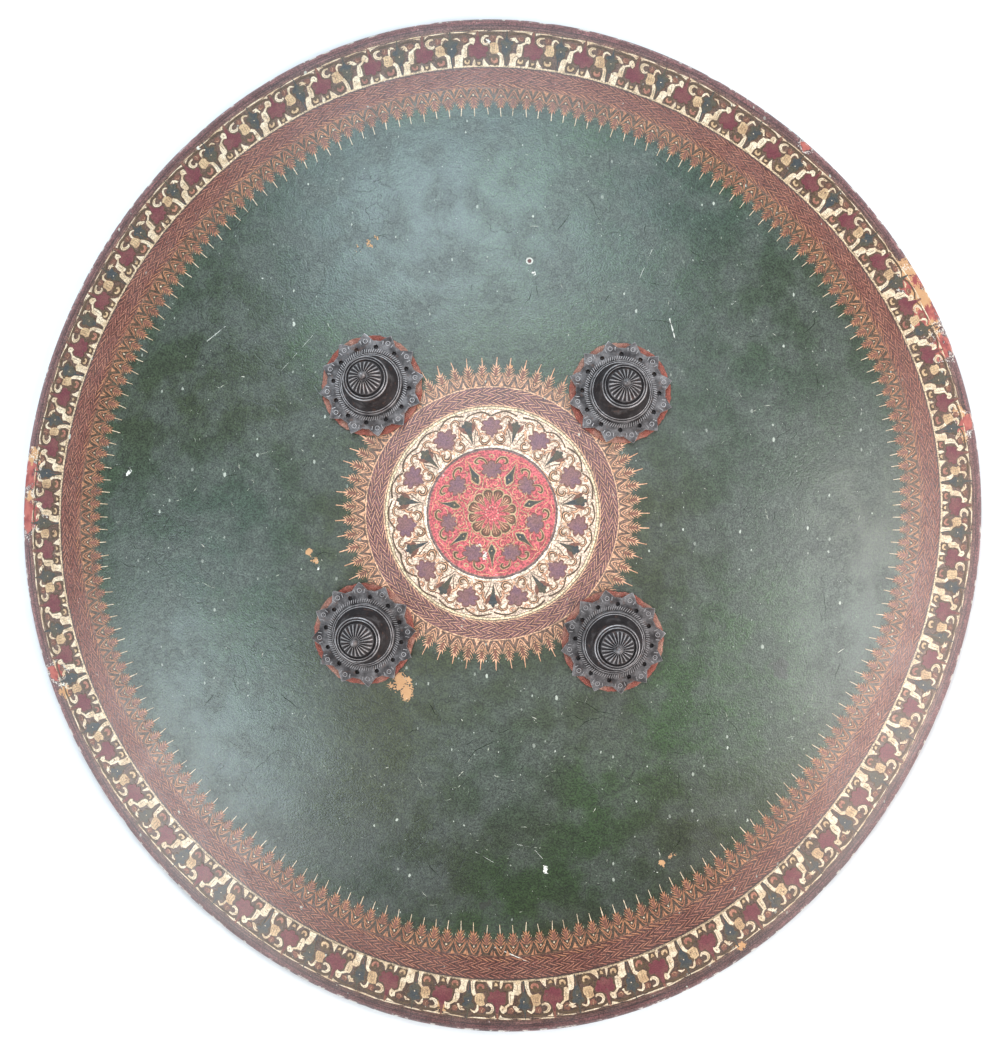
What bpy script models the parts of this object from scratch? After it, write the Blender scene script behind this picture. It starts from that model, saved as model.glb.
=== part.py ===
"""Dhal: a round lacquered hide shield with four iron bosses, lying face up on its rim.

Metres, +Z up, +Y towards the shield's upper edge. The origin is on the ground under the
middle of its outline.
"""

import math

import bmesh
import bpy
from mathutils import Matrix, Vector

# The hide
MEAN_RADIUS = 0.2425
# How the outline leaves a circle: (waves round it, cosine part, sine part)
OUTLINE_WAVES = (
    (2, -0.0068, -0.0006),
    (3, 0.0005, 0.0012),
    (4, 0.0016, 0.0011),
)
RISE = 0.066  # crown above the rim's upper edge
CURL = 0.20  # share of the rise that belongs to the steep outer part
CURL_AT_SIDES = 0.15  # how much more the left and right sides curl down
HIDE_THICKNESS = 0.007
RIM_HEIGHT = 0.0046  # rim's upper edge above the ground
RIM_ROUND = 0.0010
REST_OUTER = 0.0030  # where the flat under the rim starts and ends, in from the edge
REST_INNER = 0.0064
ROUND_STEPS = 80
OUTER_RINGS = 8
INNER_RINGS = 8

# Where the four bosses sit
MIDDLE = (-0.0032, 0.0058)
HALF_SPACING = 0.058
SQUARE_TURN = math.radians(-1.7)
CORNERS = {
    "upper_left": (-1, 1),
    "upper_right": (1, 1),
    "lower_left": (-1, -1),
    "lower_right": (1, -1),
}
PETAL_TURNS = {
    "upper_left": math.radians(8.3),
    "upper_right": math.radians(13.8),
    "lower_left": math.radians(4.8),
    "lower_right": math.radians(8.7),
}

# Each boss
GAP = 0.0003  # between pieces that touch
SEAT_CURVE = 0.5  # radius of the hide's curve under a boss
WASHER_RADIUS = 0.0240
WASHER_THICKNESS = 0.0012
PLATE_THICKNESS = 0.0013
PETALS = 12
PETAL_TIP = 0.0249
PETAL_ROOT = 0.0213
PETAL_SPREAD = 0.65  # share of the pitch that a petal's foot takes
PETAL_LIFT = 0.0004
POINTS_PER_PETAL = 6
PLATE_HOLE = 0.0009
PLATE_HOLE_CIRCLE = 0.0180
PLATE_BORE = 0.0110
BOSS_HEIGHT = 0.0280
KNOB_HEIGHT = 0.0048
CAP_HEIGHT = 0.0052
RING_HEIGHT = 0.0018
MOULDING_RADIUS = 0.0147
MOULDING_HEIGHT = 0.0022
DRUM_FOOT = 0.0132
DRUM_WAIST = 0.0102
DRUM_FLARE = 0.0006  # how much wider it is half-way down
CAP_RING = 0.0106
CAP_RADIUS = 0.0080
CAP_RIB_DEPTH = 0.0004
KNOB_RADIUS = 0.0019
BOSS_STEPS = 24
SMALL_STEPS = 18  # round a washer, a plate's bore and a staple's plate

# The inside: a staple behind each boss and a grip between each pair
STAPLE_PLATE_RADIUS = 0.0150
STAPLE_PLATE_THICKNESS = 0.0016
STAPLE_WIRE = 0.0020
STAPLE_HALF_WIDTH = 0.0115
STAPLE_DROP = 0.0090  # from its plate to the middle of its bar
STAPLE_BEND = 0.0035
STRAP_WIDTH = 0.0170
STRAP_THICKNESS = 0.0040
STRAP_BOW = 0.0260
STRAP_LOOP_HOLE = 0.0028
STRAP_LOOP_WALL = 0.0030
STRAP_STEPS = 12

# Colours, roughness and metallic
HIDE_PAINT = ((0.045, 0.080, 0.050, 1), 0.45, 0.0)
RED_LEATHER = ((0.330, 0.055, 0.030, 1), 0.75, 0.0)
DARK_IRON = ((0.060, 0.052, 0.050, 1), 0.55, 0.85)
GRIP_LEATHER = ((0.120, 0.055, 0.028, 1), 0.65, 0.0)


def clear_scene():
    for old in list(bpy.data.objects):
        bpy.data.objects.remove(old)


def collection(name):
    made = bpy.data.collections.new(name)
    bpy.context.scene.collection.children.link(made)
    return made


def finish_material(name, look):
    colour, roughness, metallic = look
    material = bpy.data.materials.new(name)
    material.use_nodes = True
    shader = material.node_tree.nodes["Principled BSDF"]
    shader.inputs["Base Color"].default_value = colour
    shader.inputs["Roughness"].default_value = roughness
    shader.inputs["Metallic"].default_value = metallic
    return material


def new_object(name, data, home, material=None, seat=None):
    made = bpy.data.objects.new(name, data)
    home.objects.link(made)
    if material:
        data.materials.append(material)
    if seat:
        made.parent = seat
    return made


# The hide's form


def outline_radius(turn):
    """Distance from the middle to the edge, at an angle round from +X."""
    waves = sum(c * math.cos(n * turn) + s * math.sin(n * turn) for n, c, s in OUTLINE_WAVES)
    return MEAN_RADIUS + waves


def outline_middle():
    """Middle of the outline's box, which the origin is moved to."""
    turns = [math.tau * i / 720 for i in range(720)]
    xs = [outline_radius(t) * math.cos(t) for t in turns]
    ys = [outline_radius(t) * math.sin(t) for t in turns]
    return (min(xs) + max(xs)) / 2, (min(ys) + max(ys)) / 2


SHIFT_X, SHIFT_Y = outline_middle()


def outer_height(share, curl=CURL):
    """Height of the painted face at a share of the way from the middle to the edge."""
    fall = (1 - curl) * share**2 + curl * share**4
    return RIM_HEIGHT + RISE * (1 - fall)


def outer_slope(share):
    return RISE * (2 * (1 - CURL) * share + 4 * CURL * share**3) / MEAN_RADIUS


def face_height(x, y):
    """Height of the painted face over a point on the ground."""
    x, y = x + SHIFT_X, y + SHIFT_Y
    turn = math.atan2(y, x)
    share = math.hypot(x, y) / outline_radius(turn)
    return outer_height(share, CURL + CURL_AT_SIDES * math.cos(2 * turn))


def face_normal(x, y):
    step = 0.001
    across = (face_height(x + step, y) - face_height(x - step, y)) / (2 * step)
    along = (face_height(x, y + step) - face_height(x, y - step)) / (2 * step)
    return Vector((-across, -along, 1)).normalized()


def turned(name, profile, steps):
    """Mesh made by turning a profile of (radius, height) points about +Z."""
    line = bpy.data.meshes.new(name + "_line")
    edges = [(i, i + 1) for i in range(len(profile) - 1)]
    line.from_pydata([(r, 0, z) for r, z in profile], edges, [])
    guide = bpy.data.objects.new(name + "_guide", line)
    bpy.context.scene.collection.objects.link(guide)
    screw = guide.modifiers.new("Turn", "SCREW")
    screw.steps = steps
    screw.render_steps = steps
    screw.use_merge_vertices = True
    screw.merge_threshold = 0.00001
    mesh = bpy.data.meshes.new_from_object(guide.evaluated_get(bpy.context.evaluated_depsgraph_get()))
    bpy.data.objects.remove(guide)
    mesh.name = name
    return mesh


def hide_section():
    """Half section of the hide, from the crown over the rim and back up inside."""
    outer = [i / OUTER_RINGS for i in range(OUTER_RINGS)]
    line = [(s * MEAN_RADIUS, outer_height(s)) for s in outer]
    line.append((MEAN_RADIUS - RIM_ROUND, outer_height(1 - RIM_ROUND / MEAN_RADIUS)))
    line.append((MEAN_RADIUS, RIM_HEIGHT - RIM_ROUND))
    line.append((MEAN_RADIUS - REST_OUTER, 0))
    line.append((MEAN_RADIUS - REST_INNER, 0))
    for i in range(INNER_RINGS, -1, -1):
        share = 0.95 * i / INNER_RINGS
        slope = outer_slope(share)
        drop = HIDE_THICKNESS / math.hypot(1, slope)
        line.append((share * MEAN_RADIUS - drop * slope, outer_height(share) - drop))
    return line


def make_hide(home):
    mesh = turned("shield_body", hide_section(), ROUND_STEPS)
    for vertex in mesh.vertices:
        x, y, z = vertex.co
        turn = math.atan2(y, x)
        share = math.hypot(x, y) / MEAN_RADIUS
        if z > RIM_HEIGHT:
            z += RISE * CURL_AT_SIDES * math.cos(2 * turn) * (share**2 - share**4)
        radius = share * outline_radius(turn)
        vertex.co = (radius * math.cos(turn) - SHIFT_X, radius * math.sin(turn) - SHIFT_Y, z)
    mesh.shade_smooth()
    mesh.set_sharp_from_angle(angle=math.radians(40))
    return new_object("shield_body", mesh, home, finish_material("painted_hide", HIDE_PAINT))


# The bosses


def sag(radius):
    """How far the hide falls away from flat at a distance from the middle of a boss."""
    return radius**2 / (2 * SEAT_CURVE)


def make_seat(name, corner, home):
    """Empty on the painted face, its Z square to the hide and its X towards the right."""
    right, up = corner
    side = Matrix.Rotation(SQUARE_TURN, 2) @ Vector((right * HALF_SPACING, up * HALF_SPACING))
    x, y = MIDDLE[0] + side.x, MIDDLE[1] + side.y
    normal = face_normal(x, y)
    along = normal.cross(Vector((1, 0, 0))).normalized()
    seat = bpy.data.objects.new("seat_" + name, None)
    home.objects.link(seat)
    turn = Matrix((along.cross(normal), along, normal)).transposed()
    seat.matrix_world = Matrix.Translation((x, y, face_height(x, y))) @ turn.to_4x4()
    return seat


def washer_mesh():
    top = GAP + WASHER_THICKNESS
    half = WASHER_RADIUS / 2
    edge = WASHER_RADIUS - GAP
    profile = [(0, top), (half, top - sag(half)), (edge, top - sag(edge))]
    profile += [(WASHER_RADIUS, GAP + WASHER_THICKNESS / 2 - sag(WASHER_RADIUS))]
    profile += [(edge, GAP - sag(edge)), (half, GAP - sag(half)), (0, GAP)]
    mesh = turned("boss_washer", profile, SMALL_STEPS)
    mesh.shade_smooth()
    mesh.set_sharp_from_angle(angle=math.radians(35))
    return mesh


def petal_radius(turn):
    """Edge of the plate: a pointed petal every pitch, and a plain edge between."""
    across = abs((turn * PETALS / math.tau + 0.5) % 1 - 0.5) * 2
    return PETAL_ROOT + (PETAL_TIP - PETAL_ROOT) * max(0, 1 - across / PETAL_SPREAD)


def add_loop(curve, points):
    spline = curve.splines.new("POLY")
    spline.points.add(len(points) - 1)
    for place, (x, y) in zip(spline.points, points):
        place.co = (x, y, 0, 1)
    spline.use_cyclic_u = True


def circle_points(x, y, radius, count):
    turns = [math.tau * i / count for i in range(count)]
    return [(x + radius * math.cos(t), y + radius * math.sin(t)) for t in turns]


def mesh_of_curve(name, curve):
    """Closed mesh of a curve's object, with its caps joined to its walls."""
    guide = bpy.data.objects.new(name + "_guide", curve)
    bpy.context.scene.collection.objects.link(guide)
    mesh = bpy.data.meshes.new_from_object(guide.evaluated_get(bpy.context.evaluated_depsgraph_get()))
    bpy.data.objects.remove(guide)
    mesh.name = name
    form = bmesh.new()
    form.from_mesh(mesh)
    bmesh.ops.remove_doubles(form, verts=form.verts, dist=0.00001)
    bmesh.ops.recalc_face_normals(form, faces=form.faces)
    form.to_mesh(mesh)
    form.free()
    return mesh


def flat_outline(name, loops, thickness):
    curve = bpy.data.curves.new(name + "_outline", "CURVE")
    curve.dimensions = "2D"
    curve.fill_mode = "BOTH"
    curve.extrude = thickness / 2
    for points in loops:
        add_loop(curve, points)
    return mesh_of_curve(name, curve)


def plate_mesh():
    count = PETALS * POINTS_PER_PETAL
    turns = [math.tau * i / count for i in range(count)]
    loops = [[(petal_radius(t) * math.cos(t), petal_radius(t) * math.sin(t)) for t in turns]]
    loops.append(circle_points(0, 0, PLATE_BORE, SMALL_STEPS))
    for i in range(PETALS):
        turn = math.tau * (i + 0.5) / PETALS
        x, y = PLATE_HOLE_CIRCLE * math.cos(turn), PLATE_HOLE_CIRCLE * math.sin(turn)
        loops.append(circle_points(x, y, PLATE_HOLE, 6))
    mesh = flat_outline("boss_plate", loops, PLATE_THICKNESS)
    bed = 2 * GAP + WASHER_THICKNESS + PLATE_THICKNESS / 2
    for vertex in mesh.vertices:
        radius = math.hypot(vertex.co.x, vertex.co.y)
        lift = PETAL_LIFT * max(0, (radius - PETAL_ROOT) / (PETAL_TIP - PETAL_ROOT))
        vertex.co.z += bed - sag(radius) + lift
    return mesh


def dome_mesh():
    foot = 3 * GAP + WASHER_THICKNESS + PLATE_THICKNESS - sag(PLATE_BORE)
    ring_top = BOSS_HEIGHT - KNOB_HEIGHT - CAP_HEIGHT
    cap_top = BOSS_HEIGHT - KNOB_HEIGHT
    ring_foot = ring_top - RING_HEIGHT
    profile = [
        (0, BOSS_HEIGHT),
        (KNOB_RADIUS, BOSS_HEIGHT - KNOB_HEIGHT * 0.3),
        (KNOB_RADIUS, BOSS_HEIGHT - KNOB_HEIGHT * 0.6),
        (KNOB_RADIUS * 0.7, cap_top),
        (CAP_RADIUS * 0.62, cap_top - CAP_HEIGHT * 0.25),
        (CAP_RADIUS, ring_top),
        (CAP_RING, ring_top),
        (CAP_RING, ring_foot),
        (DRUM_WAIST, ring_foot - RING_HEIGHT / 2),
        (DRUM_WAIST + DRUM_FLARE, (ring_foot + foot) / 2),
        (DRUM_FOOT, foot + MOULDING_HEIGHT),
        (MOULDING_RADIUS, foot + MOULDING_HEIGHT * 0.7),
        (MOULDING_RADIUS, foot),
        (0, foot),
    ]
    mesh = turned("boss_dome", profile, BOSS_STEPS)
    for vertex in mesh.vertices:
        x, y, z = vertex.co
        on_cap = ring_top - GAP < z < cap_top - GAP and math.hypot(x, y) < CAP_RADIUS + GAP
        if on_cap:
            rib = round(math.atan2(y, x) * BOSS_STEPS / math.tau) % 2
            vertex.co.z += CAP_RIB_DEPTH * (1 if rib else -1)
    mesh.shade_smooth()
    mesh.set_sharp_from_angle(angle=math.radians(35))
    return mesh


def make_bosses(seats, home):
    iron = finish_material("boss_iron", DARK_IRON)
    red = finish_material("washer_leather", RED_LEATHER)
    washer, plate, dome = washer_mesh(), plate_mesh(), dome_mesh()
    for mesh, material in ((washer, red), (plate, iron), (dome, iron)):
        mesh.materials.append(material)
    for name, seat in seats.items():
        new_object("boss_washer_" + name, washer, home, seat=seat)
        petals = new_object("boss_plate_" + name, plate, home, seat=seat)
        petals.rotation_euler.z = PETAL_TURNS[name]
        boss = new_object("boss_dome_" + name, dome, home, seat=seat)
        boss.rotation_euler.z = PETAL_TURNS[name]


# The inside


STAPLE_FACE = -(HIDE_THICKNESS + sag(STAPLE_PLATE_RADIUS) + 2 * GAP)
STAPLE_BAR = STAPLE_FACE - STAPLE_PLATE_THICKNESS - STAPLE_DROP


def staple_loop_mesh():
    """Bent bar of a staple: two legs and a rounded bridge, its legs ending in its plate."""
    curve = bpy.data.curves.new("staple_path", "CURVE")
    curve.dimensions = "3D"
    curve.bevel_depth = STAPLE_WIRE
    curve.bevel_resolution = 1
    curve.use_fill_caps = True
    foot = STAPLE_FACE - STAPLE_PLATE_THICKNESS / 2
    bends = [math.radians(a) for a in (0, 30, 60, 90)]
    right = [(STAPLE_HALF_WIDTH, foot)]
    for turn in bends:
        x = STAPLE_HALF_WIDTH - STAPLE_BEND * (1 - math.cos(turn))
        right.append((x, STAPLE_BAR + STAPLE_BEND * (1 - math.sin(turn))))
    path = right + [(-x, z) for x, z in reversed(right)]
    spline = curve.splines.new("POLY")
    spline.points.add(len(path) - 1)
    for place, (x, z) in zip(spline.points, path):
        place.co = (x, 0, z, 1)
    return mesh_of_curve("staple_loop", curve)


def make_staples(seats, home, tools):
    iron = finish_material("staple_iron", DARK_IRON)
    loop = staple_loop_mesh()
    for name, seat in seats.items():
        bar = new_object("staple_bar_" + name, loop, tools, seat=seat)
        bar.hide_render = True
        bar.display_type = "WIRE"
        mesh = bpy.data.meshes.new("grip_staple_" + name)
        form = bmesh.new()
        bmesh.ops.create_cone(
            form,
            cap_ends=True,
            segments=SMALL_STEPS,
            radius1=STAPLE_PLATE_RADIUS,
            radius2=STAPLE_PLATE_RADIUS,
            depth=STAPLE_PLATE_THICKNESS,
            matrix=Matrix.Translation((0, 0, STAPLE_FACE - STAPLE_PLATE_THICKNESS / 2)),
        )
        form.to_mesh(mesh)
        form.free()
        staple = new_object("grip_staple_" + name, mesh, home, iron, seat)
        joined = staple.modifiers.new("Bar", "BOOLEAN")
        joined.operation = "UNION"
        joined.object = bar


def strap_loops(span):
    """Outline of a grip seen from its edge: a bowed band with an eye at each end."""
    eye = STRAP_LOOP_HOLE + STRAP_LOOP_WALL
    half = STRAP_THICKNESS / 2
    slope = math.atan(4 * STRAP_BOW / span)
    spread = math.asin(half / eye)

    def band(side):
        points = []
        for i in range(1, STRAP_STEPS):
            y = span * (i / STRAP_STEPS - 0.5)
            fall = 8 * STRAP_BOW * y / span**2
            reach = math.hypot(1, fall)
            z = -STRAP_BOW * (1 - (2 * y / span) ** 2)
            points.append((y - side * half * fall / reach, z + side * half / reach))
        return points

    def round_end(centre, facing):
        turns = [facing + spread + (math.tau - 2 * spread) * i / 12 for i in range(13)]
        return [(centre + eye * math.cos(t), eye * math.sin(t)) for t in turns]

    left = round_end(-span / 2, -slope)
    right = round_end(span / 2, math.pi + slope)
    outline = left + band(-1) + right + band(1)[::-1]
    holes = [circle_points(side * span / 2, 0, STRAP_LOOP_HOLE, 12) for side in (-1, 1)]
    return [outline] + holes


def make_strap(name, upper, lower, home, leather):
    """Grip between the bars of two staples, one above the other."""
    ends = [seat.matrix_world @ Vector((0, 0, STAPLE_BAR)) for seat in (lower, upper)]
    bars = [seat.matrix_world.to_3x3() @ Vector((1, 0, 0)) for seat in (lower, upper)]
    along = ends[1] - ends[0]
    across = (bars[0] + bars[1]).normalized()
    across = (across - across.project(along)).normalized()
    mesh = flat_outline(name, strap_loops(along.length), STRAP_WIDTH)
    strap = new_object(name, mesh, home, leather)
    run = along.normalized()
    turn = Matrix((run, across.cross(run), across)).transposed()
    strap.matrix_world = Matrix.Translation((ends[0] + ends[1]) / 2) @ turn.to_4x4()


def main():
    clear_scene()
    home = collection("dhal_shield")
    tools = collection("cutters_and_guides")
    make_hide(home)
    seats = {name: make_seat(name, corner, home) for name, corner in CORNERS.items()}
    make_bosses(seats, home)
    make_staples(seats, home, tools)
    leather = finish_material("grip_leather", GRIP_LEATHER)
    for side in ("left", "right"):
        upper, lower = seats["upper_" + side], seats["lower_" + side]
        make_strap("grip_strap_" + side, upper, lower, home, leather)


main()
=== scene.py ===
"""Round lacquered hide shield with four iron bosses, built around its solid model.

The shield lies on its rim with the painted face up. X is to the right, Y is up the face and Z is
the height over the floor, all in metres. Painted ornament is drawn in millimetres in a straight
strip, repeated along it, and then bent round the border or the medallion and laid on the face.
"""

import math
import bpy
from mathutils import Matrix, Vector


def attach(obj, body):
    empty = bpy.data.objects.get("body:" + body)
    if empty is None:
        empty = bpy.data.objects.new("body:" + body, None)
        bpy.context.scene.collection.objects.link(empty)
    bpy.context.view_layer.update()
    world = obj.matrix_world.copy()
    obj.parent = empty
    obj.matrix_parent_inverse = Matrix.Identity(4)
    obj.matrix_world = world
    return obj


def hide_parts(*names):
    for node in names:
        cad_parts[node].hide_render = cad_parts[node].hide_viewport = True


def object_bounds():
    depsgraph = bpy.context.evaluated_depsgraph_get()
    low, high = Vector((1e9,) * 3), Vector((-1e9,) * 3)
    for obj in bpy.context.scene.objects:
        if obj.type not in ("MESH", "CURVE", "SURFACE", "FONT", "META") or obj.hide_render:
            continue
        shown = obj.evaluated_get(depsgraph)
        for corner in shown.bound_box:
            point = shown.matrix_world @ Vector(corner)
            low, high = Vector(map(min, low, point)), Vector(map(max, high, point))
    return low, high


bl_info = {
    "name": "Lacquered Hide Shield",
    "version": (1, 0, 0),
    "blender": (4, 5, 0),
    "location": "View3D > Sidebar > Shield",
    "description": "Builds a round lacquered hide shield with painted borders and iron bosses",
    "category": "Add Mesh",
}

import bmesh
import bpy
import numpy as np
from mathutils import Matrix, Vector

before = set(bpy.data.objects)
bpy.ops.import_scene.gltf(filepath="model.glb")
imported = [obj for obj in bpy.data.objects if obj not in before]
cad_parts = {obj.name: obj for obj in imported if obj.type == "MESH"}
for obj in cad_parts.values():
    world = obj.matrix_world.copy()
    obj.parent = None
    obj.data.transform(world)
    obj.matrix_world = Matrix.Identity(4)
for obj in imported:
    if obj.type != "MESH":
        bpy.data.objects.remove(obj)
CAD_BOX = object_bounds()
MM = 0.001

# The hide's shape, as the solid model has it
MEAN_RADIUS = 0.2425
OUTLINE_WAVES = ((2, -0.0068, -0.0006), (3, 0.0005, 0.0012), (4, 0.0016, 0.0011))
BORDER_SPLIT = 0.026  # the floral band lies outside this distance from the edge
OUTER_WIDTH = ((0, 0.966, 0), (1, 0.027, -0.039), (2, -0.102, -0.025))
BORDER_SPREAD = ((1, 0.0155, 0),)  # the ornament is a little wider apart on one side
INNER_WIDTH = ((0, 1.078, 0), (1, 0.005, -0.050), (2, -0.046, -0.031), (3, -0.016, 0.032))
RISE = 0.066
CURL = 0.20
CURL_AT_SIDES = 0.15
HIDE_THICKNESS = 0.007
RIM_HEIGHT = 0.0046
RIM_ROUND = 0.0010
INSIDE_SHARE = 0.95
GAP = 0.0003

# Where the medallion and the bosses sit
MIDDLE = (-0.0032, 0.0058)
HALF_SPACING = 0.058
SQUARE_TURN = math.radians(-1.7)
CORNERS = {
    "upper_left": (-1, 1, 8.3),
    "upper_right": (1, 1, 13.8),
    "lower_left": (-1, -1, 4.8),
    "lower_right": (1, -1, 8.7),
}  # side, height, and turn of the petals in degrees

# Bosses
WASHER_RADIUS = 0.0240
WASHER_THICKNESS = 0.0012
PLATE_THICKNESS = 0.0013
PLATE_BORE = 0.0110
PLATE_GROOVE = 0.0149  # radius of the turned groove
HOLE_PLACE = 0.0180  # radius at which the plate is pierced
MARK_PLACE = 20.9  # mm, radius at which the petals are stamped
PETALS = 12
PLATE_STEPS = PETALS * 40
PETAL_TIP = 0.0249
PETAL_ROOT = 0.0213
PETAL_SPREAD = 0.65
BOSS_HEIGHT = 0.0280
KNOB_HEIGHT = 0.0048
CAP_HEIGHT = 0.0052
SEAT_CURVE = 0.5

# Inside
STAPLE_PLATE_RADIUS = 0.0150
STAPLE_PLATE_THICKNESS = 0.0016
STAPLE_WIRE = 0.0020
STAPLE_HALF_WIDTH = 0.0115
STAPLE_DROP = 0.0090
STAPLE_BEND = 0.0035
RIVET_PLACE = 0.0105
RIVET_RADIUS = 0.0021
STRAP_WIDTH = 0.0170
STRAP_THICKNESS = 0.0040
STRAP_BOW = 0.0260
STRAP_LOOP_HOLE = 0.0028
STRAP_LOOP_WALL = 0.0030

# Places worn through to the hide: x, y, radius in mm
BARE_SPOTS = (
    (-46.5, -73.5, 4.4), (-43.5, -77.5, 3.2), (200.2, 126.8, 5.5), (206.9, 113.0, 6.5),
    (213.5, 98.0, 3.5), (225.5, 56.5, 3.6), (227.5, 44.0, 2.6), (-231.2, 34.8, 3.6),
    (-233.8, 15.0, 2.8), (-216.0, -81.6, 3.0), (81.9, -158.6, 1.9), (77.5, -162.0, 1.8),
    (-88.8, -11.8, 1.7), (-86.4, -16.4, 1.7), (-62.0, 133.7, 1.6), (-67.5, 131.0, 1.4),
    (-58.0, 136.0, 1.2), (5.2, 74.5, 1.3), (118.0, -208.0, 2.6), (-30.0, -236.5, 2.8),
)
RED_SPOTS = (
    (203.0, 119.0, 8.0), (209.0, 106.0, 8.5), (217.0, 88.0, 6.0), (-236.0, 26.0, 8.0),
    (-235.0, 6.0, 8.0), (228.0, 50.0, 5.0), (150.0, 188.0, 3.0), (-219.0, -72.0, 5.0),
)
CHALK_SPOTS = (
    (-9.4, -10.6, 2.3), (-6.4, -13.4, 1.5), (16.0, 119.0, 0.9), (-92.0, 19.0, 1.0),
    (21.0, -165.5, 1.1), (21.6, -162.6, 0.9), (7.5, -174.0, 0.8), (74.5, -166.0, 0.6),
    (-6.6, 238.0, 1.4), (-84.6, -19.8, 1.0), (-217.5, -78.0, 1.8), (-150.0, 186.0, 1.5),
    (-179.0, 24.2, 1.0), (-178.9, 26.3, 0.8), (-159.7, 9.5, 0.8), (-164.4, 10.3, 0.7),
)
DARK_SPOTS = ((132.6, -66.6, 4.0), (134.0, -70.5, 3.0), (-8.4, -182.6, 2.0), (-5.4, -181.0, 1.5))
SPOTS = {"bare": BARE_SPOTS, "red": RED_SPOTS, "chalk": CHALK_SPOTS, "dark": DARK_SPOTS}
RINGED_HOLE = (14.0, 125.0)
DEEP_GREEN = (  # places where the field has kept a deeper green: x, y, spread in mm, how much
    (-168.0, 2.0, 48.0, 0.55), (128.0, 78.0, 44.0, 0.60),
    (62.0, -104.0, 36.0, 0.45), (0.0, -160.0, 40.0, 0.15),
)
SCRATCHES = (  # from, to, width, all in mm
    ((80.1, 97.6), (83.0, 86.4), 0.75),
    ((-3.0, -204.5), (19.0, -214.8), 0.60),
    ((8.0, -151.6), (15.2, -153.0), 0.15),
    ((15.2, -153.0), (20.2, -158.8), 0.20),
    ((-12.0, -155.2), (-3.4, -160.5), 0.15),
    ((73.0, 133.0), (66.0, 117.0), 0.16),
    ((-104.0, 72.0), (-88.0, 90.0), 0.14),
    ((-140.0, 88.0), (-131.0, 95.0), 0.26),
)

FIELD_MARKS = (  # middle, spread in mm, pale scuffs, dark cracks
    (-150, 32, 26, 16, 5), (-103, 4, 22, 24, 8), (-96, -56, 20, 16, 12), (-112, 62, 34, 12, 6),
    (116, 88, 32, 22, 12), (24, 130, 42, 12, 14), (122, 22, 34, 10, 10), (62, -86, 22, 22, 14),
    (26, -106, 24, 18, 12), (12, -164, 28, 28, 8), (-22, -88, 20, 14, 12), (118, -96, 34, 8, 8),
    (0, 0, 115, 60, 40),
)
SCUFF = (2.0, 0.34)  # usual length and width in mm
CRACK = (10.0, 0.30)
CLEAR_OF_BORDER = 53  # mm in from the edge, where marks may start
CLEAR_OF_MEDALLION = 76  # mm from the medallion's middle
CLEAR_OF_BOSS = 27  # mm from a boss's middle

BEVEL = 0.06  # mm, slope at the edge of a painted stroke
SINK = 0.10  # mm, how far a painted stroke goes into the hide


# Shape of the face


def drift(x, y, size, seed):
    """Smooth random value from -1 to 1 that changes over a distance of size."""
    table = np.random.default_rng(seed).uniform(-1, 1, (64, 64))
    u, v = np.asarray(x) / size + 1000.0, np.asarray(y) / size + 1000.0
    i, j = np.floor(u).astype(int), np.floor(v).astype(int)
    s, t = u - i, v - j
    s, t = s * s * (3 - 2 * s), t * t * (3 - 2 * t)
    i, j, k, m = i % 64, j % 64, (i + 1) % 64, (j + 1) % 64
    near = table[i, j] * (1 - s) + table[k, j] * s
    far = table[i, m] * (1 - s) + table[k, m] * s
    return near * (1 - t) + far * t


def waves(turn, terms):
    return sum(c * np.cos(n * turn) + s * np.sin(n * turn) for n, c, s in terms)


def outline_radius(turn):
    return MEAN_RADIUS + waves(turn, OUTLINE_WAVES)


def border_reach(turn, depth):
    """Distance in from the edge of a line drawn at a nominal depth: the bands vary in width."""
    outer, inner = np.minimum(depth, BORDER_SPLIT), np.maximum(depth - BORDER_SPLIT, 0)
    return outer * waves(turn, OUTER_WIDTH) + inner * waves(turn, INNER_WIDTH)


def border_depth(turn, reach):
    """Nominal depth of a point at a distance in from the edge."""
    split = BORDER_SPLIT * waves(turn, OUTER_WIDTH)
    outer = np.minimum(reach, split) / waves(turn, OUTER_WIDTH)
    return outer + np.maximum(reach - split, 0) / waves(turn, INNER_WIDTH)


def full_turn(steps):
    return np.arange(steps) * math.tau / steps


def outline_middle():
    turns = full_turn(720)
    x, y = outline_radius(turns) * np.cos(turns), outline_radius(turns) * np.sin(turns)
    return (x.min() + x.max()) / 2, (y.min() + y.max()) / 2


SHIFT = outline_middle()


def seat_place(corner):
    side, height, _turn = CORNERS[corner]
    spot = Matrix.Rotation(SQUARE_TURN, 2) @ Vector((side * HALF_SPACING, height * HALF_SPACING))
    return MIDDLE[0] + spot.x, MIDDLE[1] + spot.y


def swell(x, y, depth):
    """Slight unevenness of the hide, which is flat under the bosses."""
    rise = depth * (drift(x, y, 0.050, 3) + 0.5 * drift(x, y, 0.019, 4))
    for corner in CORNERS:
        place = seat_place(corner)
        away = np.hypot(x - place[0], y - place[1])
        rise = rise * np.clip((away - WASHER_RADIUS - 2 * MM) / 0.02, 0, 1)
    return rise


def face_height(x, y):
    x_out, y_out = x + SHIFT[0], y + SHIFT[1]
    turn = np.arctan2(y_out, x_out)
    share = np.minimum(np.hypot(x_out, y_out) / outline_radius(turn), 1)
    curl = CURL + CURL_AT_SIDES * np.cos(2 * turn)
    height = RIM_HEIGHT + RISE * (1 - (1 - curl) * share**2 - curl * share**4)
    depth = bpy.context.scene.shield_hide.unevenness
    return height + swell(x, y, depth) * np.clip((1 - share) * 15, 0, 1)


def face_slopes(x, y):
    step = 0.5 * MM
    across = (face_height(x + step, y) - face_height(x - step, y)) / (2 * step)
    along = (face_height(x, y + step) - face_height(x, y - step)) / (2 * step)
    return across, along


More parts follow.
